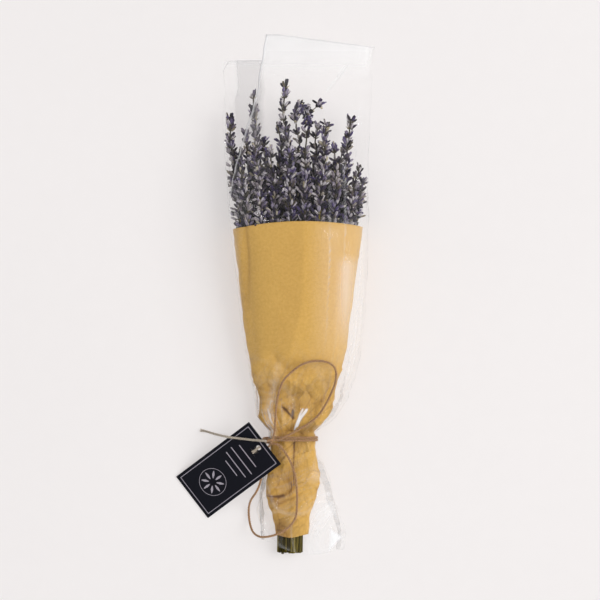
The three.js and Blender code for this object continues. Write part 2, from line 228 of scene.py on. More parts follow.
# %% Meshes from points
def add_values(mesh, values):
    """Put named values at a mesh's points, for its finish to read."""
    for key, numbers in values.items():
        mesh.attributes.new(key, "FLOAT", "POINT").data.foreach_set("value", np.asarray(numbers, np.float32))


def hand_over(piece, solid):
    """Say what a piece is carried by and which solid it takes the place of."""
    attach(piece, "root")
    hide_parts(solid)


def mesh_piece(name, vertices, faces, slot, solid, **values):
    """A new piece of these points and faces, with a value of each name at each point."""
    mesh = bpy.data.meshes.new(name)
    mesh.from_pydata([tuple(vertex) for vertex in vertices], [], faces)
    add_values(mesh, values)
    mesh.polygons.foreach_set("use_smooth", [True] * len(mesh.polygons))
    piece = bpy.data.objects.new(name, mesh)
    bpy.context.scene.collection.objects.link(piece)
    hand_over(piece, solid)
    return piece


def rings_round(line, sides, ups, radius, count):
    """Points of a ring round each point of a line."""
    turn = np.linspace(0, 2 * np.pi, count, endpoint=False)[None, :, None]
    return line[:, None, :] + radius * (np.cos(turn) * sides[:, None, :] + np.sin(turn) * ups[:, None, :])


def tube_faces(rings, sides, start=0):
    """Faces of a tube whose rings follow each other, with both ends closed."""
    faces = []
    for ring in range(rings - 1):
        for side in range(sides):
            a, b = start + ring * sides + side, start + ring * sides + (side + 1) % sides
            faces.append((a, b, b + sides, a + sides))
    last = start + (rings - 1) * sides
    return [*faces, tuple(range(start + sides - 1, start - 1, -1)), tuple(range(last, last + sides))]


print("A closed tube of two rings of six has", len(tube_faces(2, 6)), "faces")

# %% [markdown]
# Jute twine is three strands of rough fibre twisted together. It could be one smooth tube with a bump
# map, but the strands' grooves show in its outline. So each strand is its own thin tube that winds
# round the twine's middle line, with short loose hairs standing out of it.

# %% Twine
PLIES = 3
PLY_RADIUS = 0.00057
PLY_OFFSET = 0.00056
TWIST = 0.0078
PLY_SIDES = 6
RING_STEP = 0.0006
LUMP, LUMPS_RATE = 0.1, 900
FRAY, FRAY_LENGTH = 1.3, 0.006
HAIR_WIDTH, HAIR_FOOT, HAIR_LEAN, SHORTEST_HAIR = 0.0001, 0.00012, 1.2, 0.001
LOWEST = 0.0001


def plied(route, rng, hairs_per_metre=2200, frayed=False, hair=0.0028):
    """Points, faces and values of a twine along the route: three strands and their loose hairs."""
    ahead, sides, ups = frames_along(route)
    count = len(route)
    travel = travelled(route)
    vertices, faces, groove, hairy = [], [], [], []
    spread = np.ones(count)
    if frayed:
        spread += FRAY * np.clip((travel - travel[-1] + FRAY_LENGTH) / FRAY_LENGTH, 0, 1) ** 2
    for ply in range(PLIES):
        turn = 2 * np.pi * (travel / TWIST + ply / PLIES)
        out = np.cos(turn)[:, None] * sides + np.sin(turn)[:, None] * ups
        middle = route + out * (PLY_OFFSET * spread)[:, None]
        thickness = PLY_RADIUS * (1 + LUMP * np.sin(travel * LUMPS_RATE + 2 * ply) * rng.uniform(0.5, 1))
        thickness[0] *= 0.8
        thickness[-1] *= 0.5
        spots = rings_round(middle, sides, ups, thickness[:, None, None], PLY_SIDES)
        faces.extend(tube_faces(count, PLY_SIDES, len(vertices)))
        vertices.extend(spots.reshape(-1, 3))
        off = np.linalg.norm(spots - route[:, None, :], axis=2).reshape(-1)
        groove.extend(np.clip(1.25 - off / (PLY_OFFSET + PLY_RADIUS) * 1.25, 0, 1))
        hairy.extend([0.0] * count * PLY_SIDES)
    for _ in range(int(hairs_per_metre * travel[-1])):
        at = rng.integers(1, count - 1)
        angle = rng.uniform(0, 2 * np.pi)
        out = np.cos(angle) * sides[at] + np.sin(angle) * ups[at]
        root = route[at] + out * (PLY_OFFSET + 0.2 * PLY_RADIUS)
        lean = ahead[at] * rng.uniform(-1, 1) * HAIR_LEAN
        reach = rng.uniform(SHORTEST_HAIR, hair)
        tip = root + (out + lean) / np.linalg.norm(out + lean) * reach
        across = np.cross(out, ahead[at]) * HAIR_WIDTH
        start = len(vertices)
        vertices.extend([root + across, root - across, root + ahead[at] * HAIR_FOOT, tip])
        faces.extend([(start, start + 1, start + 2), (start, start + 3, start + 1),
                      (start + 1, start + 3, start + 2), (start + 2, start + 3, start)])
        groove.extend([0.0] * 4)
        hairy.extend([1.0] * 4)
    return vertices, faces, groove, hairy


def twine_piece(name, solid, routes, seed, **ways):
    """One piece of twine made of one or more plied runs. No hair of it goes through the surface."""
    rng = np.random.default_rng(seed)
    vertices, faces, groove, hairy = [], [], [], []
    for route in routes:
        more, around, deep, loose = plied(route, rng, **ways)
        faces.extend([tuple(index + len(vertices) for index in face) for face in around])
        vertices.extend([(x, y, max(z, LOWEST)) for x, y, z in more])
        groove.extend(deep)
        hairy.extend(loose)
    piece = mesh_piece(name, vertices, faces, "jute", solid, groove=groove, hairy=hairy)
    print(name, "has", len(piece.data.polygons), "faces")
    return piece


# %% [markdown]
# The bow's loops and tails are the free parts of one cord. Their routes were chosen from the knot
# outwards, so that they lie on the sleeve or on the surface. The middle line of each must be as long as
# the real twine, and the two loops go back into the knot.

# %% Routes of the loops and tails
UPPER_LOOP = [
    (-0.0242, -0.1329, 0.0316), (-0.0234, -0.1275, 0.0314), (-0.0228, -0.1181, 0.0337),
    (-0.0223, -0.1096, 0.0364), (-0.0205, -0.0964, 0.0407), (-0.0156, -0.0813, 0.0446),
    (-0.008, -0.0728, 0.0467), (0.0014, -0.0657, 0.0481), (0.0099, -0.0626, 0.0486),
    (0.019, -0.0618, 0.048), (0.0277, -0.0637, 0.0465), (0.0326, -0.0676, 0.0445),
    (0.0345, -0.0737, 0.0426), (0.0335, -0.0832, 0.0405), (0.0307, -0.0907, 0.0393),
    (0.0277, -0.0973, 0.0382), (0.019, -0.112, 0.0348), (0.0094, -0.1207, 0.0326),
    (-0.0043, -0.129, 0.0314), (-0.0118, -0.133, 0.032), (-0.0175, -0.136, 0.0319),
    (-0.0206, -0.1372, 0.0316),
]
LOWER_LOOP = [
    (-0.0206, -0.1409, 0.031), (-0.0176, -0.1438, 0.0304), (-0.0137, -0.1485, 0.0292),
    (-0.008, -0.1588, 0.0277), (-0.0043, -0.1701, 0.0279), (-0.0024, -0.1862, 0.0292),
    (-0.0024, -0.1984, 0.0299), (-0.0033, -0.2088, 0.0303), (-0.0066, -0.2155, 0.0303),
    (-0.0109, -0.2202, 0.03), (-0.0184, -0.2249, 0.0294), (-0.026, -0.2277, 0.0279),
    (-0.0317, -0.2289, 0.026), (-0.0374, -0.2289, 0.0236), (-0.0428, -0.2265, 0.0175),
    (-0.0463, -0.2211, 0.0094), (-0.0483, -0.212, 0.0036), (-0.0484, -0.203, 0.0046),
    (-0.0462, -0.195, 0.013), (-0.0418, -0.1881, 0.0205), (-0.0387, -0.182, 0.0224),
    (-0.0365, -0.1748, 0.022), (-0.0349, -0.1654, 0.0218), (-0.0335, -0.1565, 0.0225),
    (-0.0314, -0.149, 0.0252), (-0.0296, -0.1439, 0.0286),
]
LEFT_TAIL = [
    (-0.0309, -0.1377, 0.0342), (-0.035, -0.1374, 0.0353), (-0.04, -0.1371, 0.0341),
    (-0.0468, -0.1366, 0.0322), (-0.0562, -0.1356, 0.0296), (-0.066, -0.1346, 0.0269),
    (-0.0715, -0.1337, 0.0237), (-0.0774, -0.1326, 0.0183), (-0.083, -0.1315, 0.0118),
    (-0.088, -0.1304, 0.0058), (-0.0918, -0.1297, 0.0025), (-0.0952, -0.1292, 0.0016),
]
SHORT_TAIL = [
    (-0.0309, -0.1392, 0.0292), (-0.0329, -0.1404, 0.0283), (-0.035, -0.1417, 0.028),
    (-0.0368, -0.143, 0.0286), (-0.0385, -0.1442, 0.0299), (-0.0403, -0.1456, 0.0312),
    (-0.0424, -0.1472, 0.032), (-0.0448, -0.149, 0.0319),
]

short_route, short_length = smooth_route(SHORT_TAIL, RING_STEP)
twine_tail_short = twine_piece("twine_short_end", "twine_tail_short", [short_route], 14, frayed=True,
                               hairs_per_metre=4500, hair=0.005)

upper_route, upper_length = smooth_route(UPPER_LOOP, RING_STEP)
twine_loop_upper = twine_piece("twine_upper_loop", "twine_loop_upper", [upper_route], 11)

lower_route, lower_length = smooth_route(LOWER_LOOP, RING_STEP)
twine_loop_lower = twine_piece("twine_lower_loop", "twine_loop_lower", [lower_route], 12)

tail_route, tail_length = smooth_route(LEFT_TAIL, RING_STEP)
twine_tail_left = twine_piece("twine_long_end", "twine_tail_left", [tail_route], 13, frayed=True,
                              hairs_per_metre=3200)
print("Loops", round(upper_length, 4), round(lower_length, 4))
print("Tails", round(tail_length, 4), round(short_length, 4))

# %% [markdown]
# The tie is the same twine: two turns round the neck, and a bow knot at the left. A real knot is hard to
# read, so it is built as the runs that cross in it, pulled close together, with one strand wrapped over.
# The tie squeezes the wrap at the right of the neck, so the film below is drawn in there as well.

# %% Binding and knot
BINDING_TURNS = 2
BINDING_POINTS = 49
BINDING_STANDOFF = 0.002
BINDING_PITCH = 0.0024
SQUEEZE = 0.0034
KNOT_ANGLE = 2.3
KNOT = np.array((-0.026, -0.138, 0.0314))
KNOT_RUNS = [
    [UPPER_LOOP[0], (-0.0252, -0.1358, 0.0326), (-0.0272, -0.1402, 0.0318), LOWER_LOOP[-1]],
    [UPPER_LOOP[-1], (-0.0238, -0.1368, 0.033), (-0.0275, -0.1372, 0.0342), LEFT_TAIL[0]],
    [LOWER_LOOP[0], (-0.0236, -0.1404, 0.0312), (-0.0274, -0.1398, 0.0298), SHORT_TAIL[0]],
]
WRAP_ACROSS, WRAP_UP, WRAP_LEAN, WRAP_PITCH = 0.0030, 0.0026, 1.1, 0.0006
WRAP_POINTS = 12


def neck_squeeze(angle):
    """How far the tie draws the film in at the right, beyond its plain section."""
    return SQUEEZE * np.clip(np.cos(angle), 0, 1) ** 3


turns = np.linspace(0, BINDING_TURNS, BINDING_POINTS)
binding_angle = KNOT_ANGLE + 2 * np.pi * turns
binding_y = np.full(BINDING_POINTS, NECK_Y)
binding_points = section(FILM, binding_y, binding_angle, -BINDING_STANDOFF, neck_squeeze(binding_angle))
binding_points[:, 1] += BINDING_PITCH * (turns - BINDING_TURNS / 2)
binding_route, _ = smooth_route(binding_points, RING_STEP)
twine_binding = twine_piece("twine_round_neck", "twine_binding", [binding_route], 15)

wrap_run = []
for k in range(WRAP_POINTS + 1):
    angle = 2 * math.pi * k / WRAP_POINTS
    across = WRAP_ACROSS * math.cos(angle)
    along = across * math.sin(WRAP_LEAN) + WRAP_PITCH * (2 * k / WRAP_POINTS - 1)
    wrap_run.append(KNOT + np.array((across * math.cos(WRAP_LEAN), along, WRAP_UP * math.sin(angle))))
runs = [smooth_route(run, RING_STEP)[0] for run in [*KNOT_RUNS, wrap_run]]
twine_knot = twine_piece("twine_bow_knot", "twine_knot", runs, 16, hairs_per_metre=1500)

# %% [markdown]
# The tag is plain card, and its solid already has the right shape. It stays, and only its print is added
# below as thin raised shapes, because print on card is a film of ink with crisp edges. Before that come
# the big sheets. A sheet is made flat as a grid, and then each of its points is carried to its place
# round the bunch. The grid keeps even faces and a map of the flat sheet, which the finish reads.

# %% Flat sheets and their walls
def flat_sheet(columns, rows):
    """A new flat grid, and how far across and along it each of its points is, from 0 to 1."""
    bpy.ops.object.select_all(action="DESELECT")
    bpy.ops.mesh.primitive_grid_add(x_subdivisions=columns, y_subdivisions=rows, size=1)
    sheet = bpy.context.object
    spots = np.empty(len(sheet.data.vertices) * 3)
    sheet.data.vertices.foreach_get("co", spots)
    spots = spots.reshape(-1, 3) + 0.5
    return sheet, spots[:, 0], spots[:, 1]


def thicken(piece, name, thickness, offset):
    """Name a flat piece and give it a wall, below its surface at offset -1 and above it at 1."""
    piece.name = name
    piece.data.name = name
    solidify = piece.modifiers.new("wall", "SOLIDIFY")
    solidify.thickness = thickness
    solidify.offset = offset
    bpy.ops.object.select_all(action="DESELECT")
    piece.select_set(True)
    bpy.context.view_layer.objects.active = piece
    bpy.ops.object.modifier_apply(modifier=solidify.name)


def lay_sheet(sheet, name, spots, wall, slot, solid, **values):
    """Carry the flat sheet's points to their places, and thicken it inwards."""
    sheet.data.vertices.foreach_set("co", spots.reshape(-1))
    add_values(sheet.data, values)
    sheet.data.polygons.foreach_set("use_smooth", [True] * len(sheet.data.polygons))
    thicken(sheet, name, wall, -1)
    hand_over(sheet, solid)
    print(name, "has", len(sheet.data.polygons), "faces")


print("Flat sheets are ready to be laid")

# %% [markdown]
# Crumpled sheets don't bend softly. They break into small flats that meet in straight ridges. A few
# zigzag waves in chance directions, added up, give just such flats. Their lines are bent a little by a
# slow wave, so that none runs straight over the whole sheet.

# %% Chance folds
RIDGE = 0.0012
PLEAT_RIDGE = 0.1
BEND, BEND_SPAN, FADE_SPAN = 0.8, 7, 5
UPPER_SHARE = 0.6


def folds(spots, seed, count, length, grain=(1, 1, 1)):
    """A relief of flats from 0 to 1 at these places in space, and how near its ridges are."""
    rng = np.random.default_rng(seed)
    bent = spots.copy()
    for axis in range(3):
        heading = rng.normal(size=3) / (length * BEND_SPAN)
        bent[:, axis] += length * BEND * np.sin(spots @ heading * 2 * np.pi + rng.uniform(0, 6))
    total, weight, ridge = np.zeros(len(spots)), np.zeros(len(spots)), np.zeros(len(spots))
    for _ in range(count):
        heading = rng.normal(size=3) * grain
        heading /= np.linalg.norm(heading)
        size = length * rng.uniform(0.7, 1.5)
        wave = (bent @ heading / size + rng.random()) % 1
        slow = spots @ rng.normal(size=3) / (length * FADE_SPAN)
        strength = 0.5 + 0.5 * np.sin(slow * 2 * np.pi + rng.uniform(0, 6))
        total += strength * np.abs(wave * 2 - 1)
        weight += strength
        gap = np.abs((wave * 2 + 0.5) % 1 - 0.5) * size / 2
        ridge = np.maximum(ridge, strength * np.clip(1 - gap / RIDGE, 0, 1))
    return total / weight, ridge


def pleats(angle, y, seed, counts):
    """Uneven sharp pleats that run along the bunch, from 0 to 1, and how near their ridges are."""
    rng = np.random.default_rng(seed)
    total, ridge = np.zeros(len(y)), np.zeros(len(y))
    for count in counts:
        wander = rng.uniform(0.15, 0.35) * np.sin(2 * angle + rng.uniform(0, 6))
        wave = (angle * count / (2 * np.pi) + wander + rng.uniform(-5, 5) * y + rng.random()) % 1
        slow = angle * rng.uniform(2, 5) + y * rng.uniform(60, 200) + rng.uniform(0, 6)
        total += np.abs(wave * 2 - 1)
        ridge = np.maximum(ridge, (0.5 + 0.5 * np.sin(slow)) * np.clip(1 - wave / PLEAT_RIDGE, 0, 1))
    return total / len(counts), ridge


def swell(value, low, high):
    """0 below low, 1 above high, and smooth between."""
    u = np.clip((value - low) / (high - low), 0, 1)
    return u * u * (3 - 2 * u)


def near_line(x, y, start, end, width):
    """1 on a line between two places seen from above, and 0 further than width from it."""
    span = (end[0] - start[0], end[1] - start[1])
    size = span[0] ** 2 + span[1] ** 2
    t = np.clip(((x - start[0]) * span[0] + (y - start[1]) * span[1]) / size, 0, 1)
    gap = np.hypot(x - start[0] - t * span[0], y - start[1] - t * span[1])
    return np.clip(1 - gap / width, 0, 1)


def in_triangle(x, y, corners, soft):
    """1 inside a triangle seen from above, its corners given against the clock, and 0 outside it."""
    inside = np.full(len(x), 1.0)
    for (ax, ay), (bx, by) in zip(corners, corners[1:] + corners[:1]):
        reach = ((bx - ax) * (y - ay) - (by - ay) * (x - ax)) / math.hypot(bx - ax, by - ay)
        inside = np.minimum(inside, np.clip(reach / soft, 0, 1))
    return inside


def spread_columns(start, end, across):
    """Angles from end to start, closer together on the upper side than underneath."""
    table = np.linspace(-2, 10, 1201)
    travel = table - UPPER_SHARE * np.cos(table)
    first, last = np.interp(start, table, travel), np.interp(end, table, travel)
    return np.interp(last + (first - last) * across, travel, table)


def spread_rows(along, spots):
    """Rows lie closer together at the tied neck than in the smooth body."""
    return np.interp(along, [row[0] for row in spots], [row[1] for row in spots])


print("A ridge is", RIDGE * 1000, "mm wide on either side")

# %% [markdown]
# The paper is one sheet, rolled round the stems so that its ends lap underneath. The tie gathers it into
# pleats at the neck, and it fans out again below. It could be sculpted by hand. Here its relief is a sum
# of chance flats and of the few single folds that the photo shows, each kept to its own zone.
# Every dent goes inwards, so that the paper never reaches through the film round it. Only the left side
# of the skirt is let out a little. Sharp ridges and folds are darkened by the finish, partly as wear and
# partly as painted shade. Hollows, a strip beside the long bend and the skirt's left side also get
# painted shade, and the skirt's right side is kept lighter as painted light.

# %% The kraft paper's shape
PAPER_WALL = 0.00016
PAPER_COLUMNS, PAPER_ROWS = 230, 210
PAPER_START = math.radians(-110)
PAPER_OVERLAP = math.radians(30)
PAPER_LAP_LIFT = 0.0003
PAPER_FOOT, PAPER_MOUTH, PAPER_LENGTH = -0.229, 0.069, 0.298
PAPER_ROW_SPOTS = [(0, 0), (0.28, 0.19), (0.58, 0.41), (1, 1)]
PAPER_BEND_X = [(-0.1, -0.0095), (-0.075, -0.0085), (-0.047, -0.006), (-0.017, 0.0024), (0.0255, 0.0052),
                (0.07, 0.0052)]
PAPER_FOLD_X = -0.0535
STEM_ROOM, SKIRT_ROOM, CONE_ROOM = 0.0034, 0.0045, 0.014
SKIRT_BULGE, BULGE_Y, BULGE_LENGTH = 0.0042, -0.193, 0.017
# Single folds, each as its start, its end and how far it reaches to either side.
LEFT_FOLD = ((-0.0528, 0.068), (-0.0542, -0.014), 0.003)
DENT = ((-0.028, -0.059), (-0.014, -0.071), 0.014)
POCKET_LEFT = ((-0.0205, -0.1055), (-0.0064, -0.1160), 0.0018)
POCKET_RIGHT = ((-0.0064, -0.1155), (-0.0062, -0.1100), 0.0028)
PINCH = ((-0.0325, -0.1955), (-0.0190, -0.1915), 0.0048)
NECK_FOLD = ((-0.0048, -0.1405), (-0.0043, -0.180), 0.0020)


def paper_foot(x):
    """The cut lower edge, which is a little wavy."""
    return PAPER_FOOT + 0.0015 * np.sin(x / 0.006)


def paper_mouth(x):
    """The upper edge, highest in the middle."""
    return PAPER_MOUTH - 0.006 * ((x - 0.004) / 0.064) ** 2


def paper_dents(y, angle):
    """How far the paper is pushed in from its full section, the wear and the painted shade and light that
    its finish shows there, and how loose it is there.
    """
    base = section(PAPER, y, angle)
    x = base[:, 0]
    neck = np.exp(-((y - NECK_Y) / 0.032) ** 2)
    tight = swell(-np.abs(y - NECK_Y), -0.011, -0.003)
    skirt = swell(-y, 0.145, 0.17)
    above = swell(-y, 0.05, 0.1) * (1 - skirt)
    cone = swell(y, -0.09, -0.04)
    top_side = swell(np.sin(angle), 0.1, 0.5)
    side = swell(-np.sin(angle), -0.55, -0.1) * (1 - neck)

    # Chance flats, deep above the tie and in the skirt, and pleats at the neck.
    broad, broad_ridge = folds(base, 3, 4, 0.036, (1.5, 0.7, 1.5))
    fine, fine_ridge = folds(base, 5, 4, 0.011)
    body, _ = folds(base, 8, 4, 0.06, (1, 0.4, 1))
    pleat, pleat_ridge = pleats(angle, y, 4, (7, 12))
    depth = gather(y, angle) * 0.8 + neck * (0.0040 * pleat - 0.0006)
    hollow = np.maximum(broad - 0.36 + 0.1 * top_side, 0)
    depth += hollow * (0.0003 + 0.0165 * above + 0.0130 * skirt) * (1 - 0.85 * tight)
    depth += fine * (0.00005 + 0.0024 * above + 0.0018 * skirt + 0.0008 * neck) * (1 - tight)
    depth += 0.0009 * body * (1 - neck) + (0.0009 * broad + 0.0005 * fine) * side
    depth *= 1 - 0.8 * swell(-y, 0.203, 0.224)

    # The cone's long bend: from it the paper slopes down to the fold at the left.
    bend_x = flow(PAPER_BEND_X, y, 1)
    share = np.clip((bend_x - x) / (bend_x - PAPER_FOLD_X), 0, 2)
    slope = np.maximum(share - 0.06, 0) + 0.03 * np.clip(share / 0.06, 0, 1) ** 2
    roof = np.where(share < 1, slope, np.clip(1 - (share - 1) / 0.09, 0, 1)) * cone
    roof *= 1 - 0.65 * swell(y, 0.035, 0.066)

    # Single folds.
    left_fold, dent, pinch = (near_line(x, y, *line) for line in (LEFT_FOLD, DENT, PINCH))
    pocket = np.maximum(near_line(x, y, *POCKET_LEFT), near_line(x, y, *POCKET_RIGHT))
    neck_fold = near_line(x + 0.0008 * np.sin(y / 0.007), y, *NECK_FOLD)
    marks = 0.0068 * roof + 0.0004 * left_fold + 0.004 * dent ** 2 + 0.0045 * pocket
    depth += top_side * (marks + 0.004 * pinch ** 1.5 + 0.0022 * neck_fold)

    # The stems leave the paper only so much room.
    room = STEM_ROOM + SKIRT_ROOM * swell(NECK_Y - y, 0.015, 0.05)
    room += CONE_ROOM * swell(y - NECK_Y, 0.01, 0.05)
    depth = room * (1 - np.exp(-np.maximum(depth, 0) / room))
    depth -= SKIRT_BULGE * swell(-np.cos(angle), 0.2, 0.9) * np.exp(-((y - BULGE_Y) / BULGE_LENGTH) ** 2)

    # Ridges and folds darkened, partly as wear and partly as painted shade. Painted shade in the hollows,
    # beside the long bend and on the skirt's left, and painted light on the skirt's right.
    loose = above + skirt + neck
    shade = swell(bend_x - x, -0.001, 0.004) * (1 - swell(bend_x - x, 0.01, 0.05)) * cone
    wear_and_shade = (0.6 * broad_ridge + 0.3 * fine_ridge + 0.3 * pleat_ridge) * np.clip(loose, 0, 1)
    wear_and_shade += top_side * (0.35 * left_fold + 1.9 * pocket + 0.5 * pinch + 0.8 * neck_fold)
    wear_and_shade += 0.4 * swell(broad, 0.35, 0.8) * np.clip(above + skirt, 0, 1) + 0.25 * neck * swell(pleat, 0.5, 1)
    wear_and_shade += top_side * (0.13 * shade + 0.4 * skirt * swell(-x, 0.006, 0.02))
    wear_and_shade *= 1 - 0.6 * skirt * swell(x, -0.006, 0.006) * top_side
    wear_and_shade += side * (0.35 * broad_ridge + 0.15 * fine_ridge)
    return depth, np.clip(wear_and_shade, 0, 1.4), np.clip(loose + 0.15 * side, 0.02, 1)


paper, across, along = flat_sheet(PAPER_COLUMNS, PAPER_ROWS)
y = PAPER_FOOT + PAPER_LENGTH * spread_rows(along, PAPER_ROW_SPOTS)
angle = spread_columns(PAPER_START, PAPER_START + 2 * np.pi + PAPER_OVERLAP, across)
x = section(PAPER, y, angle)[:, 0]
lower = (paper_foot(x) - PAPER_FOOT) * swell(-y, 0.19, -PAPER_FOOT)
y = y + lower + (paper_mouth(x) - PAPER_MOUTH) * swell(y, 0, PAPER_MOUTH)
depth, wear_and_shade, loose = paper_dents(y, angle)
inset = PAPER_LAP_LIFT * (1 - swell(angle, PAPER_START + PAPER_OVERLAP, PAPER_START + 1.5 * PAPER_OVERLAP))
paper_spots = section(PAPER, y, angle, inset, depth)
# The value "crease" carries that wear and the painted shade and light to the finish.
lay_sheet(paper, "kraft_paper_cone", paper_spots, PAPER_WALL, "kraft_paper", "paper_wrap",
          crease=wear_and_shade, loose=loose)

# %% [markdown]
# The clear sleeve is rolled the same way and lapped on the left. Its upper layer reaches past the under
# one at the right, so that its mouth slopes. Thin film is held away from what it covers by its own
# spring, and crackles into long sharp creases that run towards the tie.

# %% The clear film's shape
FILM_WALL = 0.0001
FILM_COLUMNS, FILM_ROWS = 236, 208
FILM_FOOT, FILM_LENGTH = -0.247, 0.494
FILM_EDGE = [(-0.247, 225), (-0.06, 215), (0, 200), (0.06, 180), (0.09, 165), (0.113, 152), (0.135, 138.8),
             (0.17, 125.7), (0.186, 120.9), (0.208, 118.2), (0.247, 112.5)]
FILM_OVERLAP = math.radians(40)
FILM_LAP_LIFT = 0.0006
FILM_ROW_SPOTS = [(0, 0), (0.24, 0.15), (0.46, 0.30), (1, 1)]
UPPER_MOUTH, UNDER_MOUTH, MOUTH_SLOPE = 0.247, 0.222, 0.125
PAPER_CLEARANCE, FREE_ROOM = 0.0006, 0.012
CORNER_LEFT = ((-0.0614, 0.222), (-0.0614, 0.189), 0.0022)
CORNER_RIGHT = ((0.0468, 0.2145), (0.0279, 0.1928), 0.002)
LONG_FOLD = ((0.060, 0.205), (0.0535, -0.1), 0.0022)


def film_foot(x):
    """The skirt's lower edge: deepest at the right."""
    return np.maximum(FILM_FOOT, PAPER_FOOT - 0.017 * np.cos(np.clip((x - 0.015) / 0.038, -1.5, 1.5)))


def film_mouth(x, angle, start):
    """The mouth: the under layer's edge is level, the lap's slopes down to the right."""
    upper = UPPER_MOUTH - MOUTH_SLOPE * np.maximum(0, x + 0.02)
    under = np.where(x < -0.066, 0.211 + 0.011 * np.clip((x + 0.0735) / 0.0075, 0, 1), UNDER_MOUTH)
    below = UNDER_MOUTH + 0.014 * swell(x, -0.03, 0.06)
    low = np.where(np.sin(angle) > 0, under, below)
    return np.where(angle - start > math.pi * 1.35, np.where(angle > 2 * np.pi, upper, below), low)


def film_angles(y, across):
    """The angle of each point round the bunch, and the angle where the sheet starts."""
    edge = np.radians(flow(FILM_EDGE, y, 1)) + 2 * np.pi
    start = edge - 2 * np.pi - FILM_OVERLAP
    return spread_columns(start, edge, across), start


film, across, along = flat_sheet(FILM_COLUMNS, FILM_ROWS)
rows = spread_rows(along, FILM_ROW_SPOTS)
y = FILM_FOOT + FILM_LENGTH * rows
angle, start = film_angles(y, across)
x = section(FILM, y, angle)[:, 0]
y = film_foot(x) + (film_mouth(x, angle, start) - film_foot(x)) * rows
angle, start = film_angles(y, across)
base = section(FILM, y, angle)
x = base[:, 0]
neck = np.exp(-((y - NECK_Y) / 0.03) ** 2)
tight = swell(-np.abs(y - NECK_Y), -0.012, -0.004)
skirt = swell(-y, 0.15, 0.19)
above = swell(-y, 0.03, 0.1) * (1 - skirt)
free = swell(y, 0.06, 0.1)
top_side = swell(np.sin(angle), 0.1, 0.4)
right_side = swell(np.cos(angle), 0.1, 0.6)

broad, broad_ridge = folds(base, 21, 6, 0.03, (1.5, 0.5, 1.5))
fine, fine_ridge = folds(base, 22, 6, 0.011, (1.2, 0.8, 1.2))
pleat, pleat_ridge = pleats(angle, y, 23, (9, 14, 19))
side_pleat, side_ridge = pleats(angle, 0.15 * y, 31, (15, 23))
dents = gather(y, angle) + neck * 0.0026 * pleat
spring = 0.0008 + 0.0062 * skirt + 0.003 * above + 0.0022 * free + 0.001 * right_side
dents += broad * spring * (1 - 0.8 * tight)
dents += fine * (0.00003 + 0.0009 * skirt + 0.0008 * above) * (1 - tight)
dents += neck_squeeze(angle) * np.exp(-((y - NECK_Y) / 0.007) ** 2)
dents += 0.0007 * right_side * (1 - neck) * side_pleat
corner = np.maximum(near_line(x, y, *CORNER_LEFT), near_line(x, y, *CORNER_RIGHT))
dents += top_side * np.where(y > 0.07, 0.0010, 0.0003) * (corner + near_line(x, y, *LONG_FOLD))

# The film stays outside the paper, and on the surface.
gap = np.hypot(*(base[:, (0, 2)] - section(PAPER, y, angle)[:, (0, 2)]).T) - PAPER_CLEARANCE
covered = (y < 0.067) & (y > -0.227)
room = np.where(covered, np.clip(gap, 0.0001, 0.02) + 0.92 * paper_dents(y, angle)[0], FREE_ROOM)
dents = np.minimum(dents, room)
dents = np.where(base[:, 2] < 0.004, np.minimum(dents, 0.0003), dents)
inset = FILM_LAP_LIFT * (1 - swell(angle - start, 0, FILM_OVERLAP * 1.4))
film_spots = section(FILM, y, angle, inset, dents)
print("The film's dents are up to", round(float(dents.max()) * 1000, 1), "mm deep")

# %% [markdown]
# Film turns white where it is creased, its cut edges catch the light, and it mirrors the studio in broad
# gleams and small glints. A few lamps don't give all of these, so part of them is painted: a value on the
# sheet, which the finish turns into haze. That value holds painted highlights and painted reflections as
# well as the haze on creases. At the upper left the film is also painted a little grey as painted shade,
# which is a second value.

# %% White creases, and painted gleams and glints
GLEAM = ((0.0470, 0.050), (0.0425, -0.060), 0.0135)
BUNCH_UPPER = ((-0.0203, -0.066), (-0.0335, -0.1087), 0.0056)
BUNCH_LOWER = ((-0.0335, -0.1087), (-0.0285, -0.134), 0.0056)
GLINT_RIGHT = ((0.0098, -0.1085), (-0.0008, -0.1238), 0.0020)
GLINT_LEFT = ((0.0055, -0.1085), (-0.0035, -0.1268), 0.0016)
FLASH = [(0.0326, -0.2202), (0.0307, -0.2448), (0.0458, -0.2296)]
FLASH_EDGE = 0.0022
LAP_EDGE_WIDTH, MOUTH_EDGE_WIDTH = 1 / 115, 1 / 260

upper_layer = swell(angle, 2 * np.pi + 0.1, 2 * np.pi + 0.5)
in_sight = np.maximum(upper_layer, swell(-x, 0.030, 0.036))
# The white on the cut edges is a painted highlight.
cut_edge = np.clip(1 - across / LAP_EDGE_WIDTH, 0, 1)
cut_edge += 0.5 * in_sight * np.clip(1 - (1 - rows) / MOUTH_EDGE_WIDTH, 0, 1)
# The white on the lap's top is a painted reflection. The white on creases, here and below, is partly real
# haze and partly painted reflection.
white = 0.45 * upper_layer * swell(y, 0.195, 0.235) + 0.7 * cut_edge + 0.25 * corner * top_side
white += 0.16 * broad_ridge * np.clip(skirt + 0.6 * above, 0, 1) * (1 - tight)
left_top = top_side * swell(-np.cos(angle), -0.1, 0.35)
white += 0.5 * pleat_ridge * np.exp(-((y - NECK_Y - 0.018) / 0.02) ** 2) * left_top
right_top = right_side * swell(np.sin(angle), 0.05, 0.35)
white += 0.42 * side_ridge * right_top * swell(-y, -0.16, -0.1) * swell(y, -0.12, -0.06)
# The gleam and the broad sheen beside it are painted reflections, and the glints and the flash are painted
# highlights.
gleam = 0.30 * near_line(x, y, *GLEAM) ** 1.3 * swell(y, -0.070, 0.01) * swell(-y, -0.040, -0.026)
gleam += 0.11 * swell(x, 0.004, 0.03) * swell(y, -0.10, -0.02) * swell(-y, -0.075, -0.06)
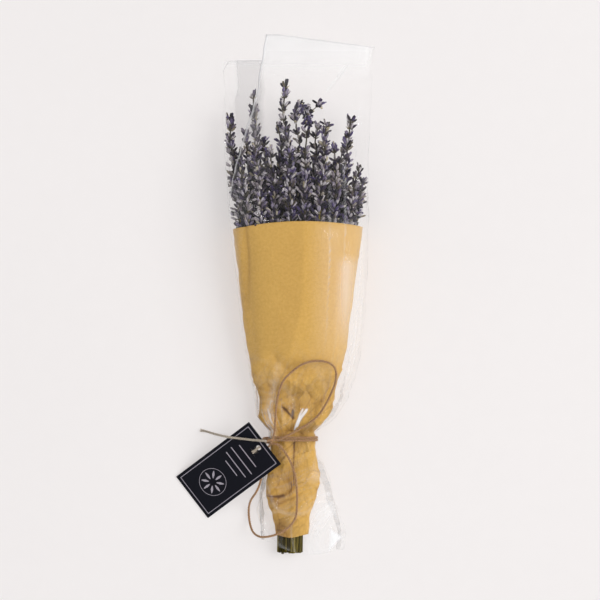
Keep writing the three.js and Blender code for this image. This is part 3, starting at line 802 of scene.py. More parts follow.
# The white on the film bunched at the neck is partly real haze and partly painted reflection.
bunched = np.maximum(near_line(x, y, *BUNCH_UPPER), near_line(x, y, *BUNCH_LOWER))
bunched *= 0.25 + 0.75 * swell(-y, 0.07, 0.11)
bunched *= 0.20 + 0.36 * np.maximum(pleat_ridge, fine_ridge)
glints = 0.95 * np.clip(2 * near_line(x, y, *GLINT_RIGHT), 0, 1)
glints += 0.7 * np.clip(2 * near_line(x, y, *GLINT_LEFT), 0, 1)
glints += 0.85 * in_triangle(x, y, FLASH, FLASH_EDGE)
glints += 0.3 * skirt * swell(x, 0.012, 0.024) * swell(broad, 0.35, 0.7)
white += top_side * (gleam + bunched + glints)
# A painted grey shade at the upper left of the film.
smoke = 0.2 * top_side * swell(y, 0.13, 0.16) * swell(x, -0.0625, -0.061) * (1 - swell(x, -0.040, -0.034))
loose = np.clip(0.06 + skirt + 0.8 * above + 0.25 * free, 0, 1)
lay_sheet(film, "clear_film_sleeve", film_spots, FILM_WALL, "clear_film", "film_sleeve",
          white=np.clip(white, 0, 0.9), smoke=smoke, loose=loose)

# %% [markdown]
# Under the wrap lie 25 sprigs in three layers. A sprig's middle line comes from the bundle at the cut
# ends, through the tight neck, and fans out to the tip that the photo shows for it.

# %% Where each sprig runs
STEM_SIDE = 0.0023
STEM_PITCH = 0.00275
BUNDLE_X, BUNDLE_Z = -0.0072, 0.0154
CUT_END, CUT_DROP, TIED = -0.247, 0.007, 0.015
RIM_Y, RIM_X, RIM_REACH = 0.066, -0.0019, 0.053
LAYER_SPREAD, EDGE_DROP = 0.28, 0.4
SPIKE_FOOT = 0.063
LEAST_WHORLS, MOST_WHORLS = 5, 7
# The tips of each layer, lowest layer first: across, along, and how far apart the top whorls are.
LAYERS = [
    [(-0.058, 0.132, 0.010), (-0.040, 0.150, 0.010), (-0.024, 0.122, 0.0095), (-0.009, 0.146, 0.010),
     (0.008, 0.136, 0.0095), (0.024, 0.118, 0.009), (0.042, 0.142, 0.010), (0.056, 0.110, 0.0085)],
    [(-0.0676, 0.1729, 0.012), (-0.051, 0.158, 0.011), (-0.034, 0.150, 0.010), (-0.0195, 0.166, 0.011),
     (-0.0014, 0.1805, 0.0115), (0.0184, 0.1843, 0.0125), (0.034, 0.146, 0.010), (0.0487, 0.171, 0.013),
     (0.061, 0.112, 0.009)],
    [(-0.057, 0.140, 0.010), (-0.0449, 0.1937, 0.013), (-0.0279, 0.1418, 0.0105), (-0.0118, 0.2032, 0.014),
     (0.0061, 0.1578, 0.011), (0.026, 0.1654, 0.012), (0.037, 0.1295, 0.0095), (0.0565, 0.1238, 0.009)],
]


def sprig_line(layer, column, tip_x, tip_y, count):
    """A function that gives the sprig's middle line at each y."""
    half = (count - 1) / 2
    side = (column - half) / 4
    x = BUNDLE_X + (column - half) * STEM_PITCH
    z = BUNDLE_Z + (layer - 1) * STEM_PITCH
    share = 0.5 + (layer - 1) * LAYER_SPREAD * (1 - EDGE_DROP * side ** 2)
    rows_x = [(CUT_END, x - 0.002), (NECK_Y - TIED, x - 0.0005), (NECK_Y, x), (NECK_Y + TIED, x + 0.0005),
              (RIM_Y, RIM_X + RIM_REACH * side), (tip_y, tip_x)]
    rows_z = [(CUT_END, z - CUT_DROP), (NECK_Y - TIED, z - 0.0008), (NECK_Y, z), (NECK_Y + TIED, z + 0.0008),
              (RIM_Y, flow(FILM, RIM_Y, 4) * share), (tip_y, flow(FILM, tip_y, 4) * share)]
    return lambda at: np.stack([flow(rows_x, at, 1), at, flow(rows_z, at, 1)], axis=-1)


def swaying(line, rng):
    """The line with a slow sway of its own above the rim, so that no spike runs dead straight."""
    reach = rng.uniform(0.0005, 0.0019, 2)
    length = rng.uniform(0.03, 0.055, 2)
    phase = rng.uniform(0, 6.28, 2)

    def moved(at):
        spots = line(at)
        for k, axis in enumerate((0, 2)):
            wave = np.sin(2 * np.pi * at / length[k] + phase[k])
            spots[:, axis] += swell(at, RIM_Y, 0.09) * reach[k] * wave
        return spots

    return moved


sway_rng = np.random.default_rng(7)
sprigs = []
for layer, tips in enumerate(LAYERS):
    for column, (tip_x, tip_y, pitch) in enumerate(tips):
        whorls = min(MOST_WHORLS, max(LEAST_WHORLS, round((tip_y - SPIKE_FOOT) / pitch)))
        line = swaying(sprig_line(layer, column, tip_x, tip_y, len(tips)), sway_rng)
        sprigs.append((line, tip_y - whorls * pitch, tip_y, pitch))
print("There are", len(sprigs), "sprigs")

# %% [markdown]
# A lavender stem is square, with a groove down each side. One stem is modelled upright: a ring is
# extruded up in short lengths, its side columns are drawn in for the grooves, and its cut end is inset
# for the pale pith. It can't be bent with an operator here, so its points are carried along a line later.

# %% One stem, modelled upright
STEM_LENGTHS = 60
STEM_RADIUS, PITH_INSET, PITH_RADIUS = STEM_SIDE * 0.56, STEM_SIDE * 0.14, STEM_SIDE * 0.42
GROOVE = 0.8
PITH_DEPTH = 0.0004


def start_shape(add, **ways):
    """A new primitive, alone and all selected, in edit mode."""
    bpy.ops.object.select_all(action="DESELECT")
    add(**ways)
    bpy.ops.object.mode_set(mode="EDIT")
    bpy.ops.mesh.select_all(action="SELECT")
    return bpy.context.object


def extrude(reach):
    """Extrude what is selected upwards by reach."""
    bpy.ops.mesh.extrude_region_move(TRANSFORM_OT_translate={"value": (0, 0, reach)})


def pick(piece, chosen):
    """Select in edit mode only the vertices that the test chooses, and return to edit mode."""
    bpy.ops.object.mode_set(mode="OBJECT")
    for element in (*piece.data.vertices, *piece.data.edges, *piece.data.polygons):
        element.select = False
    for vertex in piece.data.vertices:
        vertex.select = bool(chosen(vertex.co))
    bpy.ops.object.mode_set(mode="EDIT")
    bpy.ops.mesh.select_mode(type="VERT")


def model_stem():
    """A stem of unit length: eight columns, with every second one drawn in."""
    stem = start_shape(bpy.ops.mesh.primitive_circle_add, vertices=8, radius=STEM_RADIUS, fill_type="NGON")
    for _ in range(STEM_LENGTHS):
        extrude(1 / STEM_LENGTHS)
    pick(stem, lambda spot: abs(abs(spot.x) - abs(spot.y)) < 1e-5)
    bpy.ops.transform.resize(value=(GROOVE, GROOVE, 1))
    bpy.ops.mesh.select_mode(type="FACE")
    bpy.ops.mesh.select_all(action="DESELECT")
    bpy.ops.object.mode_set(mode="OBJECT")
    for face in stem.data.polygons:
        face.select = len(face.vertices) == 8 and face.center.z < 0.001
    bpy.ops.object.mode_set(mode="EDIT")
    bpy.ops.mesh.inset(thickness=PITH_INSET)
    extrude(PITH_DEPTH)
    bpy.ops.object.mode_set(mode="OBJECT")
    return stem


def take_mesh(piece):
    """A model's points and faces, and the model itself is then removed."""
    spots = np.array([tuple(vertex.co) for vertex in piece.data.vertices])
    faces = [tuple(face.vertices) for face in piece.data.polygons]
    bpy.data.objects.remove(piece)
    return spots, faces


stem_spots, stem_faces = take_mesh(model_stem())
print("The stem model has", len(stem_faces), "faces")

# %% [markdown]
# Each stem of the bunch is a copy of that model with its own mesh. Its points keep their place across
# the stem and are carried along the sprig's line, with a slight twist, since real stems turn as they dry.

# %% Stems, carried along their lines
AHEAD = 0.0005
UNEVEN_CUT = 0.0022
MOST_TWIST = 1.5


def carry(spots, line, start, end, twist):
    """Points of the upright model, carried along the line from start to end."""
    share = np.clip(spots[:, 2], 0, 1)
    middle = line(start + (end - start) * share)
    ahead = line(start + (end - start) * share + AHEAD) - middle
    ahead /= np.linalg.norm(ahead, axis=1)[:, None]
    side = np.cross(ahead, (0, 0, 1.0))
    side /= np.linalg.norm(side, axis=1)[:, None]
    rise = np.cross(side, ahead)
    cos, sin = np.cos(twist * share), np.sin(twist * share)
    u, v = cos * spots[:, 0] - sin * spots[:, 1], sin * spots[:, 0] + cos * spots[:, 1]
    return middle + u[:, None] * side + v[:, None] * rise


stem_rng = np.random.default_rng(41)
inner = (stem_spots[:, 2] < 0.001) & (np.hypot(stem_spots[:, 0], stem_spots[:, 1]) < PITH_RADIUS)
stems = []
for number, (line, base_y, *_) in enumerate(sprigs, 1):
    cut = CUT_END + stem_rng.uniform(0, UNEVEN_CUT)
    spots = carry(stem_spots, line, cut, base_y, stem_rng.uniform(-MOST_TWIST, MOST_TWIST))
    stems.append(mesh_piece(f"lavender_stem_{number:02d}", spots, stem_faces, "stem", f"stem_{number:02d}",
                            pith=inner * 1.0, tone=np.full(len(spots), stem_rng.random())))
print("There are", len(stems), "stems")

# %% [markdown]
# What looks like a flower on dried lavender is mostly the calyx, a small ribbed tube that opens in
# teeth. One is modelled: a ring extruded upwards and resized at each step, with every second column
# drawn in for the ribs, and its end inset and pushed down to make it hollow.

# %% One calyx
CALYX_LENGTH = 0.0063
CALYX_PROFILE = [(0.00, 0.35), (0.14, 0.68), (0.46, 1.0), (0.80, 0.90), (1.0, 0.58)]
CALYX_RADIUS = 0.00138
CALYX_WALL, CALYX_HOLLOW, CALYX_RIB = CALYX_RADIUS * 0.16, CALYX_LENGTH * 0.22, 0.74


def model_calyx():
    """One upright calyx, its foot at the origin."""
    foot = CALYX_RADIUS * CALYX_PROFILE[0][1]
    calyx = start_shape(bpy.ops.mesh.primitive_circle_add, vertices=8, radius=foot, fill_type="NGON")
    for (low, before), (high, after) in zip(CALYX_PROFILE, CALYX_PROFILE[1:]):
        extrude((high - low) * CALYX_LENGTH)
        bpy.ops.transform.resize(value=(after / before, after / before, 1))
    bpy.ops.mesh.inset(thickness=CALYX_WALL)
    extrude(-CALYX_HOLLOW)
    pick(calyx, lambda spot: abs(abs(spot.x) - abs(spot.y)) < 1e-6 and spot.z > CALYX_LENGTH * 0.05)
    bpy.ops.transform.resize(value=(CALYX_RIB, CALYX_RIB, 1))
    bpy.ops.object.mode_set(mode="OBJECT")
    return calyx


calyx_spots, calyx_faces = take_mesh(model_calyx())
calyx_furrow = 1.0 * (np.abs(np.abs(calyx_spots[:, 0]) - np.abs(calyx_spots[:, 1])) < 1e-6)
print("The calyx model has", len(calyx_faces), "faces")

# %% [markdown]
# Some calyxes still hold a shrivelled bud, and under each whorl sit two brown papery bracts. Both are
# small closed shapes with a few faces each: a ball made long and pushed aside at its tip, and a cone
# pressed flat.

# %% A dry bud and a bract
BUD_LENGTH = 0.0034
BUD_HALF = (0.0008, 0.00062, BUD_LENGTH / 2)
BUD_LEAN = 0.0004
BRACT_LENGTH = 0.0042
BRACT_RADIUS, BRACT_FLAT, BRACT_FOOT = 0.0014, 0.22, 0.7


def model_bud():
    """A shrivelled bud round the origin."""
    bud = start_shape(bpy.ops.mesh.primitive_uv_sphere_add, segments=6, ring_count=4, radius=1)
    bpy.ops.transform.resize(value=BUD_HALF)
    pick(bud, lambda spot: spot.z > BUD_LENGTH * 0.2)
    bpy.ops.transform.translate(value=(BUD_LEAN, 0, 0))
    bpy.ops.object.mode_set(mode="OBJECT")
    return bud


def model_bract():
    """A thin pointed leaf that stands on the origin."""
    bract = start_shape(bpy.ops.mesh.primitive_cone_add, vertices=6, radius1=BRACT_RADIUS, radius2=0.0,
                        depth=BRACT_LENGTH)
    bpy.ops.transform.resize(value=(1, BRACT_FLAT, 1))
    bpy.ops.transform.translate(value=(0, 0, BRACT_LENGTH / 2))
    pick(bract, lambda spot: spot.z < BRACT_LENGTH * 0.5)
    bpy.ops.transform.resize(value=(BRACT_FOOT, 1, 1))
    bpy.ops.object.mode_set(mode="OBJECT")
    return bract


bud_spots, bud_faces = take_mesh(model_bud())
bract_spots, bract_faces = take_mesh(model_bract())
print("Bud", len(bud_faces), "faces, bract", len(bract_faces), "faces")

# %% [markdown]
# A spike holds hundreds of copies of these three small models. Thousands of objects would be slow, so the
# copies of a spike are gathered in one mesh, each turned and scaled on its way in. Beside its points a
# copy brings the values that tell the finish what it is.

# %% A heap of copies
class Heap:
    """Copies of small models, gathered into one mesh."""

    def __init__(self):
        self.spots, self.faces, self.count = [], [], 0
        self.values = {"tint": [], "woody": [], "rise": [], "furrow": []}

    def add(self, spots, faces, tint, woody, rise=0.0, furrow=0.0):
        """Add one copy, with its values for the finish."""
        self.faces.extend([tuple(index + self.count for index in face) for face in faces])
        self.spots.append(spots)
        self.count += len(spots)
        for name, value in (("tint", tint), ("woody", woody), ("rise", rise), ("furrow", furrow)):
            self.values[name].append(np.zeros(len(spots)) + value)


def turned(spots, root, ahead, roll, scale):
    """A small model's points, stood at root along a direction, rolled and scaled."""
    ahead = ahead / np.linalg.norm(ahead)
    side = np.cross(ahead, (0.0, 0.0, 1.0) if abs(ahead[2]) < 0.9 else (1.0, 0.0, 0.0))
    side /= np.linalg.norm(side)
    up = np.cross(ahead, side)
    across, deep = math.cos(roll) * side + math.sin(roll) * up, math.cos(roll) * up - math.sin(roll) * side
    spots = spots * scale
    return root + spots[:, :1] * across + spots[:, 1:2] * deep + spots[:, 2:] * ahead


print("A heap carries the values", *Heap().values)

# %% [markdown]
# A whorl is two opposite tufts of calyxes, with a papery bract under each. Chance gives every calyx a
# lean, a size and a shade of its own. A few strays stand well out, so that neighbouring heads mix.

# %% One whorl
DRY_SHARE, BUD_SHARE = 0.14, 0.2
STEM_CLEAR, WHORL_HALF = 0.001, 0.0019
STRAYS = 3


def add_calyx(heap, rng, root, ahead, size):
    """One calyx of a chance size and shade, sometimes dry, and sometimes with a bud."""
    scale = np.array((rng.uniform(0.8, 1.15), rng.uniform(0.8, 1.15), rng.uniform(0.78, 1.12))) * size
    roll = rng.uniform(0, 6.28)
    dry = rng.uniform(0.3, 0.9) if rng.random() < DRY_SHARE else 0.0
    heap.add(turned(calyx_spots, root, ahead, roll, scale), calyx_faces, rng.random(), dry,
             calyx_spots[:, 2] / CALYX_LENGTH, calyx_furrow)
    if rng.random() < BUD_SHARE:
        mouth = root + ahead / np.linalg.norm(ahead) * CALYX_LENGTH * scale[2] * 0.95
        heap.add(turned(bud_spots, mouth, ahead + rng.normal(size=3) * 0.25, roll, 1), bud_faces,
                 rng.random(), 0.1 if rng.random() < 0.6 else 0.9, 1.0)


def add_whorl(heap, rng, spot, turn, size, calyxes, lean):
    """Two opposite tufts of calyxes and a bract under each, at a spot: its middle and three directions."""
    middle, along, side, up = spot
    for k in range(calyxes):
        around = turn + math.pi * (k % 2) + rng.normal() * 0.6
        out = math.cos(around) * side + math.sin(around) * up
        tilt = lean * rng.uniform(0.3, 1.7)
        root = middle + out * STEM_CLEAR + along * rng.uniform(-WHORL_HALF, WHORL_HALF)
        add_calyx(heap, rng, root, along * math.cos(tilt) + out * math.sin(tilt), size)
    for k in (0, 1):
        out = math.cos(turn + math.pi * k) * side + math.sin(turn + math.pi * k) * up
        foot = middle + (out - along) * STEM_CLEAR
        bract = turned(bract_spots, foot, along * 0.7 + out, 0, size)
        heap.add(bract, bract_faces, rng.random() ** 2, 1.0, bract_spots[:, 2] / BRACT_LENGTH)


def add_strays(heap, rng, spot, size):
    """A few calyxes that stand well out of the head, so that neighbouring heads mix."""
    middle, along, side, up = spot
    for _ in range(STRAYS):
        around, tilt = rng.uniform(0, 6.28), rng.uniform(0.5, 1.4)
        out = math.cos(around) * side + math.sin(around) * up
        root = middle + out * rng.uniform(0.002, 0.006)
        add_calyx(heap, rng, root, along * math.cos(tilt) + out * math.sin(tilt), size)


print("Of the calyxes", DRY_SHARE, "are dry and", BUD_SHARE, "hold a bud")

# %% [markdown]
# The tips of the front sprigs stand clear of the rest, so the photo shows their whorls singly, and they
# are listed one by one. One head nods, one has a twig to the side, and two tips are bent. Every other top
# is a plain tuft.

# %% Open tops and nodding heads
HEAD_RISE = 0.002
TWIG, TWIG_SIDES, TWIG_STEP = 0.00045, 5, 0.0008
TUFT, TUFT_BELOW_TIP = 6, 0.0062
# Sprigs whose tops are bent aside: how far, where, and over what length.
BENT_TIPS = {21: (-0.0050, 0.172, 0.020), 19: (0.0015, 0.178, 0.014)}
# Open tops that the photo shows singly. Each whorl: where it is, its calyxes and how far they lean out.
TOPS = {
    9: [(0.1655, 5, 0.3), (0.1610, 8, 0.4), (0.1570, 9, 0.45)],
    16: [(0.1640, 8, 0.6), (0.1580, 5, 0.5), (0.1490, 6, 0.5), (0.1435, 8, 0.6), (0.1390, 8, 0.6)],
    19: [(0.1868, 3, 0.15), (0.1755, 7, 0.6), (0.1690, 7, 0.6), (0.1655, 6, 0.5)],
    21: [(0.1970, 5, 0.5), (0.1900, 6, 0.4), (0.1870, 5, 0.4), (0.1785, 8, 0.6), (0.1745, 5, 0.5),
         (0.1655, 6, 0.6)],
    22: [(0.1520, 5, 0.5), (0.1490, 4, 0.5), (0.1345, 5, 0.6)],
    23: [(0.1585, 7, 0.9), (0.1530, 8, 0.8)],
}
# Heads that nod or stand off to the side: the path of each, and its whorls by their share of that path.
HEADS = {
    13: ([(-0.0035, 0.1700), (-0.0010, 0.1775), (0.0040, 0.1775), (0.0072, 0.1710), (0.0078, 0.1630)],
         [(0.07 * k, 8, 0.75) for k in range(1, 15)]),
    14: ([(0.0062, 0.1680), (0.0100, 0.1735), (0.0150, 0.1770), (0.0180, 0.1800)],
         [(0.48, 5, 0.8), (0.56, 3, 0.8), (0.93, 6, 1.0), (1.0, 12, 1.1)]),
}
HEAD_FROM = 0.162


def spot_on(line, at):
    """The middle of the line at y, and its three directions."""
    middle = line(np.array([at]))[0]
    along = line(np.array([at + 0.001]))[0] - middle
    along /= np.linalg.norm(along)
    side = np.cross(along, (0, 0, 1.0))
    side /= np.linalg.norm(side)
    return middle, along, side, np.cross(side, along)


def add_head(heap, rng, start, points, whorls):
    """A nodding head or a side twig: whorls along a path of its own, on a thin twig."""
    route, _ = smooth_route([start, *[(x, y, start[2] + HEAD_RISE) for x, y in points]], TWIG_STEP)
    ahead, sides, ups = frames_along(route)
    for share, calyxes, lean in whorls:
        at = min(int(share * len(route)), len(route) - 2)
        spot = (route[at], ahead[at], sides[at], ups[at])
        add_whorl(heap, rng, spot, rng.uniform(0, 3), 1.0, calyxes, lean)
    twig = rings_round(route, sides, ups, TWIG, TWIG_SIDES)
    heap.add(twig.reshape(-1, 3), tube_faces(len(route), TWIG_SIDES), 0.4, 1.0)


def bent(line, number):
    """The sprig's line, with its top bent aside where the photo shows it so."""
    if number not in BENT_TIPS:
        return line
    shift, middle, width = BENT_TIPS[number]

    def moved(at):
        spots = line(at)
        spots[:, 0] += shift * np.exp(-((at - middle) / width) ** 2)
        return spots

    return moved


def add_top(heap, rng, number, line, tip_y):
    """The open top of a spike: its whorls as the photo shows them, or a plain tuft."""
    if number in HEADS:
        add_head(heap, rng, line(np.array([HEAD_FROM]))[0], *HEADS[number])
    elif number in TOPS:
        for at, calyxes, lean in TOPS[number]:
            add_whorl(heap, rng, spot_on(line, at), rng.uniform(-0.5, 0.5), 1.0, calyxes, lean)
    else:
        middle, along, _, _ = spot_on(line, tip_y - TUFT_BELOW_TIP)
        for k in range(TUFT):
            ahead = along + rng.normal(size=3) * (0.0 if k == 0 else 0.34)
            add_calyx(heap, rng, middle - along * 0.0012 * (k % 3), ahead, 0.9)


print("Tops listed by hand:", len(TOPS) + len(HEADS))

# %% [markdown]
# Each whorl of a spike is turned a quarter from the one below. Low down the whorls crowd into one dense
# head. Near the tip they stand apart, with bare stem between. At the end every point that would reach
# through the film or the paper is drawn back in, as the wrap presses the real flowers.

# %% Spikes, built whorl by whorl
CROWDED, LEAST_SPACED = 0.0045, 0.0078
CALYXES, CALYXES_LESS = 9, 2.4
WHORL_LEAN = 0.62
CORE_RADIUS, CORE_SIDES, CORE_RINGS = 0.0007, 6, 20
FILM_MARGIN, PAPER_MARGIN = 0.0024, 0.0016


def keep_inside(spots, edges, margin):
    """Draw points in towards the axis where they would reach through a wrap's wall."""
    x, y, z = spots.T
    axis, middle, left, right, low, high = extent(edges, y)
    dx, dz = x - axis, z - middle
    reach = np.where(dx > 0, right - axis, axis - left) - margin
    rise = np.where(dz > 0, high - middle, middle - low) - margin
    size = (np.abs(dx / reach) ** (2 / ROUND) + np.abs(dz / rise) ** (2 / ROUND)) ** (ROUND / 2)
    draw = 1 / np.maximum(size, 1)
    return np.stack([axis + dx * draw, y, middle + dz * draw], axis=-1)


def core_points():
    """Points of an upright tube of unit length: the stem inside a spike."""
    turns = [2 * math.pi * k / CORE_SIDES for k in range(CORE_SIDES)]
    return np.array([(CORE_RADIUS * math.cos(turn), CORE_RADIUS * math.sin(turn), z)
                     for z in np.linspace(0, 1, CORE_RINGS) for turn in turns])


def spike(number, line, base_y, tip_y, pitch):
    """One spike: its core, its crowded whorls, the looser ones above them, and its top."""
    rng = np.random.default_rng(100 + number)
    heap = Heap()
    line = bent(line, number)
    end = HEAD_FROM if number in HEADS else tip_y - 0.004
    core = carry(core_points(), line, base_y + 0.0003, end, 0)
    heap.add(core, tube_faces(CORE_RINGS, CORE_SIDES), 0.1, 1.0)
    close = TOPS[number][-1][0] - CROWDED if number in TOPS else end - 0.0022
    at = SPIKE_FOOT + rng.uniform(-0.002, 0.002)
    turn = rng.uniform(0, 3)
    open_from = rng.uniform(0.5, 0.66) if number not in TOPS else 0.85
    while at < close:
        share = (at - SPIKE_FOOT) / (close - SPIKE_FOOT)
        loose = swell(share, open_from, open_from + 0.3)
        size = 1.06 - 0.14 * share
        spot = spot_on(line, at)
        add_whorl(heap, rng, spot, turn, size, round(CALYXES - CALYXES_LESS * loose), WHORL_LEAN)
        if share < 0.7:
            add_strays(heap, rng, spot, size)
        turn += math.pi / 2 + rng.normal() * 0.3
        spaced = max(pitch * 0.82, LEAST_SPACED)
        at += (CROWDED + (spaced - CROWDED) * loose) * rng.uniform(0.8, 1.2)
    add_top(heap, rng, number, line, tip_y)
    spots = keep_inside(np.concatenate(heap.spots), FILM, FILM_MARGIN)
    low = spots[:, 1] < 0.07
    spots[low] = keep_inside(spots[low], PAPER, PAPER_MARGIN)
    values = {name: np.concatenate(parts) for name, parts in heap.values.items()}
    # Calyxes low and deep in the bunch get a darker tint: painted shade.
    values["tint"] *= 1 - 0.45 * swell(-spots[:, 2], -0.038, -0.02) * swell(-spots[:, 1], -0.16, -0.11)
    return mesh_piece(f"lavender_spike_{number:02d}", spots, heap.faces, "flower", f"spike_{number:02d}",
                      **values)


spikes = [spike(number, *sprig) for number, sprig in enumerate(sprigs, 1)]
print("Spikes have", sum(len(piece.data.polygons) for piece in spikes), "faces in all")

# %% [markdown]
# The tag's print is a thin line inside its edge, a few plain rules in place of writing, and a plain
# ornament. Each is a flat shape with a hair's thickness of ink, laid on the card.

# %% The tag's border and rules
TAG_LENGTH, TAG_WIDTH, TAG_CARD = 0.094, 0.05, 0.0008
TAG_PLACE = (Matrix.Translation((-0.0325, -0.1396, 0.0325)) @ Matrix.Rotation(math.radians(217.5), 4, "Z")
             @ Matrix.Rotation(math.radians(20), 4, "Y"))
INK, INK_GAP = 0.00005, 0.00002
BORDER_INSET, BORDER_LINE = 0.003, 0.0006
RULES = [(0.022, 0.026), (0.030, 0.032), (0.037, 0.030), (0.043, 0.018)]
RULE_LINE = 0.0009


def print_plane(length, width, middle):
    """A flat rectangle on the tag's own length and width, left in edit mode."""
    mark = start_shape(bpy.ops.mesh.primitive_plane_add, size=1)
    bpy.ops.transform.resize(value=(length, width, 1))
    bpy.ops.transform.translate(value=(middle, 0, 0))
    return mark


def keep_outline(thickness):
    """Turn the flat shape in edit mode into a line along its edge."""
    bpy.ops.mesh.inset(thickness=thickness)
    bpy.ops.mesh.delete(type="FACE")


def lay_on_tag(mark, name, place=None):
    """Leave edit mode, give the mark its thickness of ink and carry it onto the card's face."""
    bpy.ops.object.mode_set(mode="OBJECT")
    if place:
        mark.data.transform(place)
    thicken(mark, name, INK, 1)
    mark.data.transform(TAG_PLACE @ Matrix.Translation((0, 0, TAG_CARD + INK_GAP)))
    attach(mark, "root")
    return mark


border = print_plane(TAG_LENGTH - 2 * BORDER_INSET, TAG_WIDTH - 2 * BORDER_INSET, TAG_LENGTH / 2)
keep_outline(BORDER_LINE)
tag_marks = [lay_on_tag(border, "tag_border_line")]
for number, (place, width) in enumerate(RULES, 1):
    tag_marks.append(lay_on_tag(print_plane(RULE_LINE, width, place), f"tag_rule_{number}"))
print("The border and rules are laid on the tag")

# %% [markdown]
# The ornament stands where the real tag has a drawing. It is a plain rosette: one petal is drawn flat,
# from a ring of eight corners that is stretched and narrowed, and its turned copies stand in a ring.

# %% The tag's ornament
ORNAMENT_PLACE = Matrix.Translation((0.067, 0, 0))
PETALS = 8
PETAL_LENGTH, PETAL_WIDTH, PETAL_FOOT, PETAL_NARROW = 0.0082, 0.0024, 0.0034, 0.7
RING_RADIUS, RING_LINE, RING_CORNERS = 0.0136, 0.0004, 48


def model_petal():
    """One pointed petal, drawn flat."""
    petal = start_shape(bpy.ops.mesh.primitive_circle_add, vertices=8, radius=0.5, fill_type="NGON")
    bpy.ops.transform.resize(value=(PETAL_LENGTH, PETAL_WIDTH, 1))
    pick(petal, lambda spot: abs(spot.y) > PETAL_WIDTH * 0.2 and abs(spot.x) > PETAL_LENGTH * 0.2)
    bpy.ops.transform.resize(value=(1, PETAL_NARROW, 1))
    bpy.ops.mesh.select_all(action="SELECT")
    bpy.ops.transform.translate(value=(PETAL_FOOT + PETAL_LENGTH / 2, 0, 0))
    bpy.ops.object.mode_set(mode="OBJECT")
    return petal


petal_model = model_petal()
for turn in range(PETALS):
    petal = bpy.data.objects.new("petal", petal_model.data.copy())
    bpy.context.scene.collection.objects.link(petal)
    place = ORNAMENT_PLACE @ Matrix.Rotation(2 * math.pi * turn / PETALS, 4, "Z")
    tag_marks.append(lay_on_tag(petal, f"tag_petal_{turn + 1}", place))
bpy.data.objects.remove(petal_model)
ring = start_shape(bpy.ops.mesh.primitive_circle_add, vertices=RING_CORNERS, radius=RING_RADIUS,
                   fill_type="NGON")
keep_outline(RING_LINE)
tag_marks.append(lay_on_tag(ring, "tag_ring", ORNAMENT_PLACE))
print("The tag carries", len(tag_marks), "marks")

# %% [markdown]
# Now the finishes. Each is a small graph of shader nodes. A few helpers keep the graphs short to read:
# they make a node and fill its sockets, each with a number, a colour or what another node gives. Colours
# are given as sRGB values from 0 to 255 and turned into linear light.

# %% Small helpers for materials
FIRST_COLOUR, SECOND_COLOUR, MIXED_COLOUR = 6, 7, 2


def linear(value):
    """One sRGB value from 0 to 255 as linear light."""
    value /= 255
    return value / 12.92 if value <= 0.04045 else ((value + 0.055) / 1.055) ** 2.4


def fill(tree, made, sockets):
    """Fill a node's sockets, each with a number, a vector, a colour or another node's output."""
    for key, value in sockets.items():
        socket = made.inputs[key]
        if isinstance(value, bpy.types.NodeSocket):
            tree.links.new(value, socket)
        elif socket.type == "RGBA":
            socket.default_value = (*[linear(part) for part in value], 1)
        else:
            socket.default_value = value


def node(tree, kind, sockets, **settings):
    """A new node with its settings and its sockets."""
    made = tree.nodes.new(kind)
    for key, value in settings.items():
        setattr(made, key, value)
    fill(tree, made, sockets)
    return made


def maths(tree, operation, *values, clamp=False):
    """One step of arithmetic, with one to three values."""
    sockets = dict(enumerate(values))
    return node(tree, "ShaderNodeMath", sockets, operation=operation, use_clamp=clamp).outputs[0]


def vector_maths(tree, operation, first, second):
    """The result of one step with two vectors."""
    return node(tree, "ShaderNodeVectorMath", {0: first, 1: second}, operation=operation).outputs


def mix(tree, factor, first, second):
    """One colour turned into another by a factor."""
    sockets = {"Factor": factor, FIRST_COLOUR: first, SECOND_COLOUR: second}
    return node(tree, "ShaderNodeMix", sockets, data_type="RGBA").outputs[MIXED_COLOUR]


def ramp(tree, source, stops):
    """Colours along a value, as places and colours."""
    made = node(tree, "ShaderNodeValToRGB", {"Fac": source})
    elements = made.color_ramp.elements
    while len(elements) < len(stops):
        elements.new(0.5)
    for element, (place, colour) in zip(elements, stops):
        element.position = place
        element.color = (*[linear(value) for value in colour], 1)
    return made.outputs["Color"]


def attribute(tree, name):
    """A value that the mesh carries at its points."""
    return node(tree, "ShaderNodeAttribute", {}, attribute_name=name).outputs["Fac"]


def bump(tree, height, strength, distance):
    """A surface that seems to rise and fall with the height."""
    sockets = {"Height": height, "Strength": strength, "Distance": distance}
    return node(tree, "ShaderNodeBump", sockets).outputs["Normal"]


def stretched(tree, source, scale):
    """Coordinates stretched by a scale for each axis."""
    return node(tree, "ShaderNodeMapping", {"Vector": source, "Scale": scale}).outputs["Vector"]


def object_place(tree):
    """Coordinates in the object's own space, which is the space of the whole bunch."""
    return node(tree, "ShaderNodeTexCoord", {}).outputs["Object"]


def new_material(name):
    """A new material, its nodes and its shader."""
    material = bpy.data.materials.new(name)
    material.use_nodes = True
    return material, material.node_tree, material.node_tree.nodes["Principled BSDF"]


def dress(pieces, material):
    """Give the pieces one finish."""
    for piece in pieces:
        piece.data.materials.clear()
        piece.data.materials.append(material)


print("White is", linear(255), "in linear light")

# %% [markdown]
# Several finishes need the same fine mottle, so it is made once as a group of nodes: two sizes of noise
# that give a mask and a height. Each finish places the group with its own values.

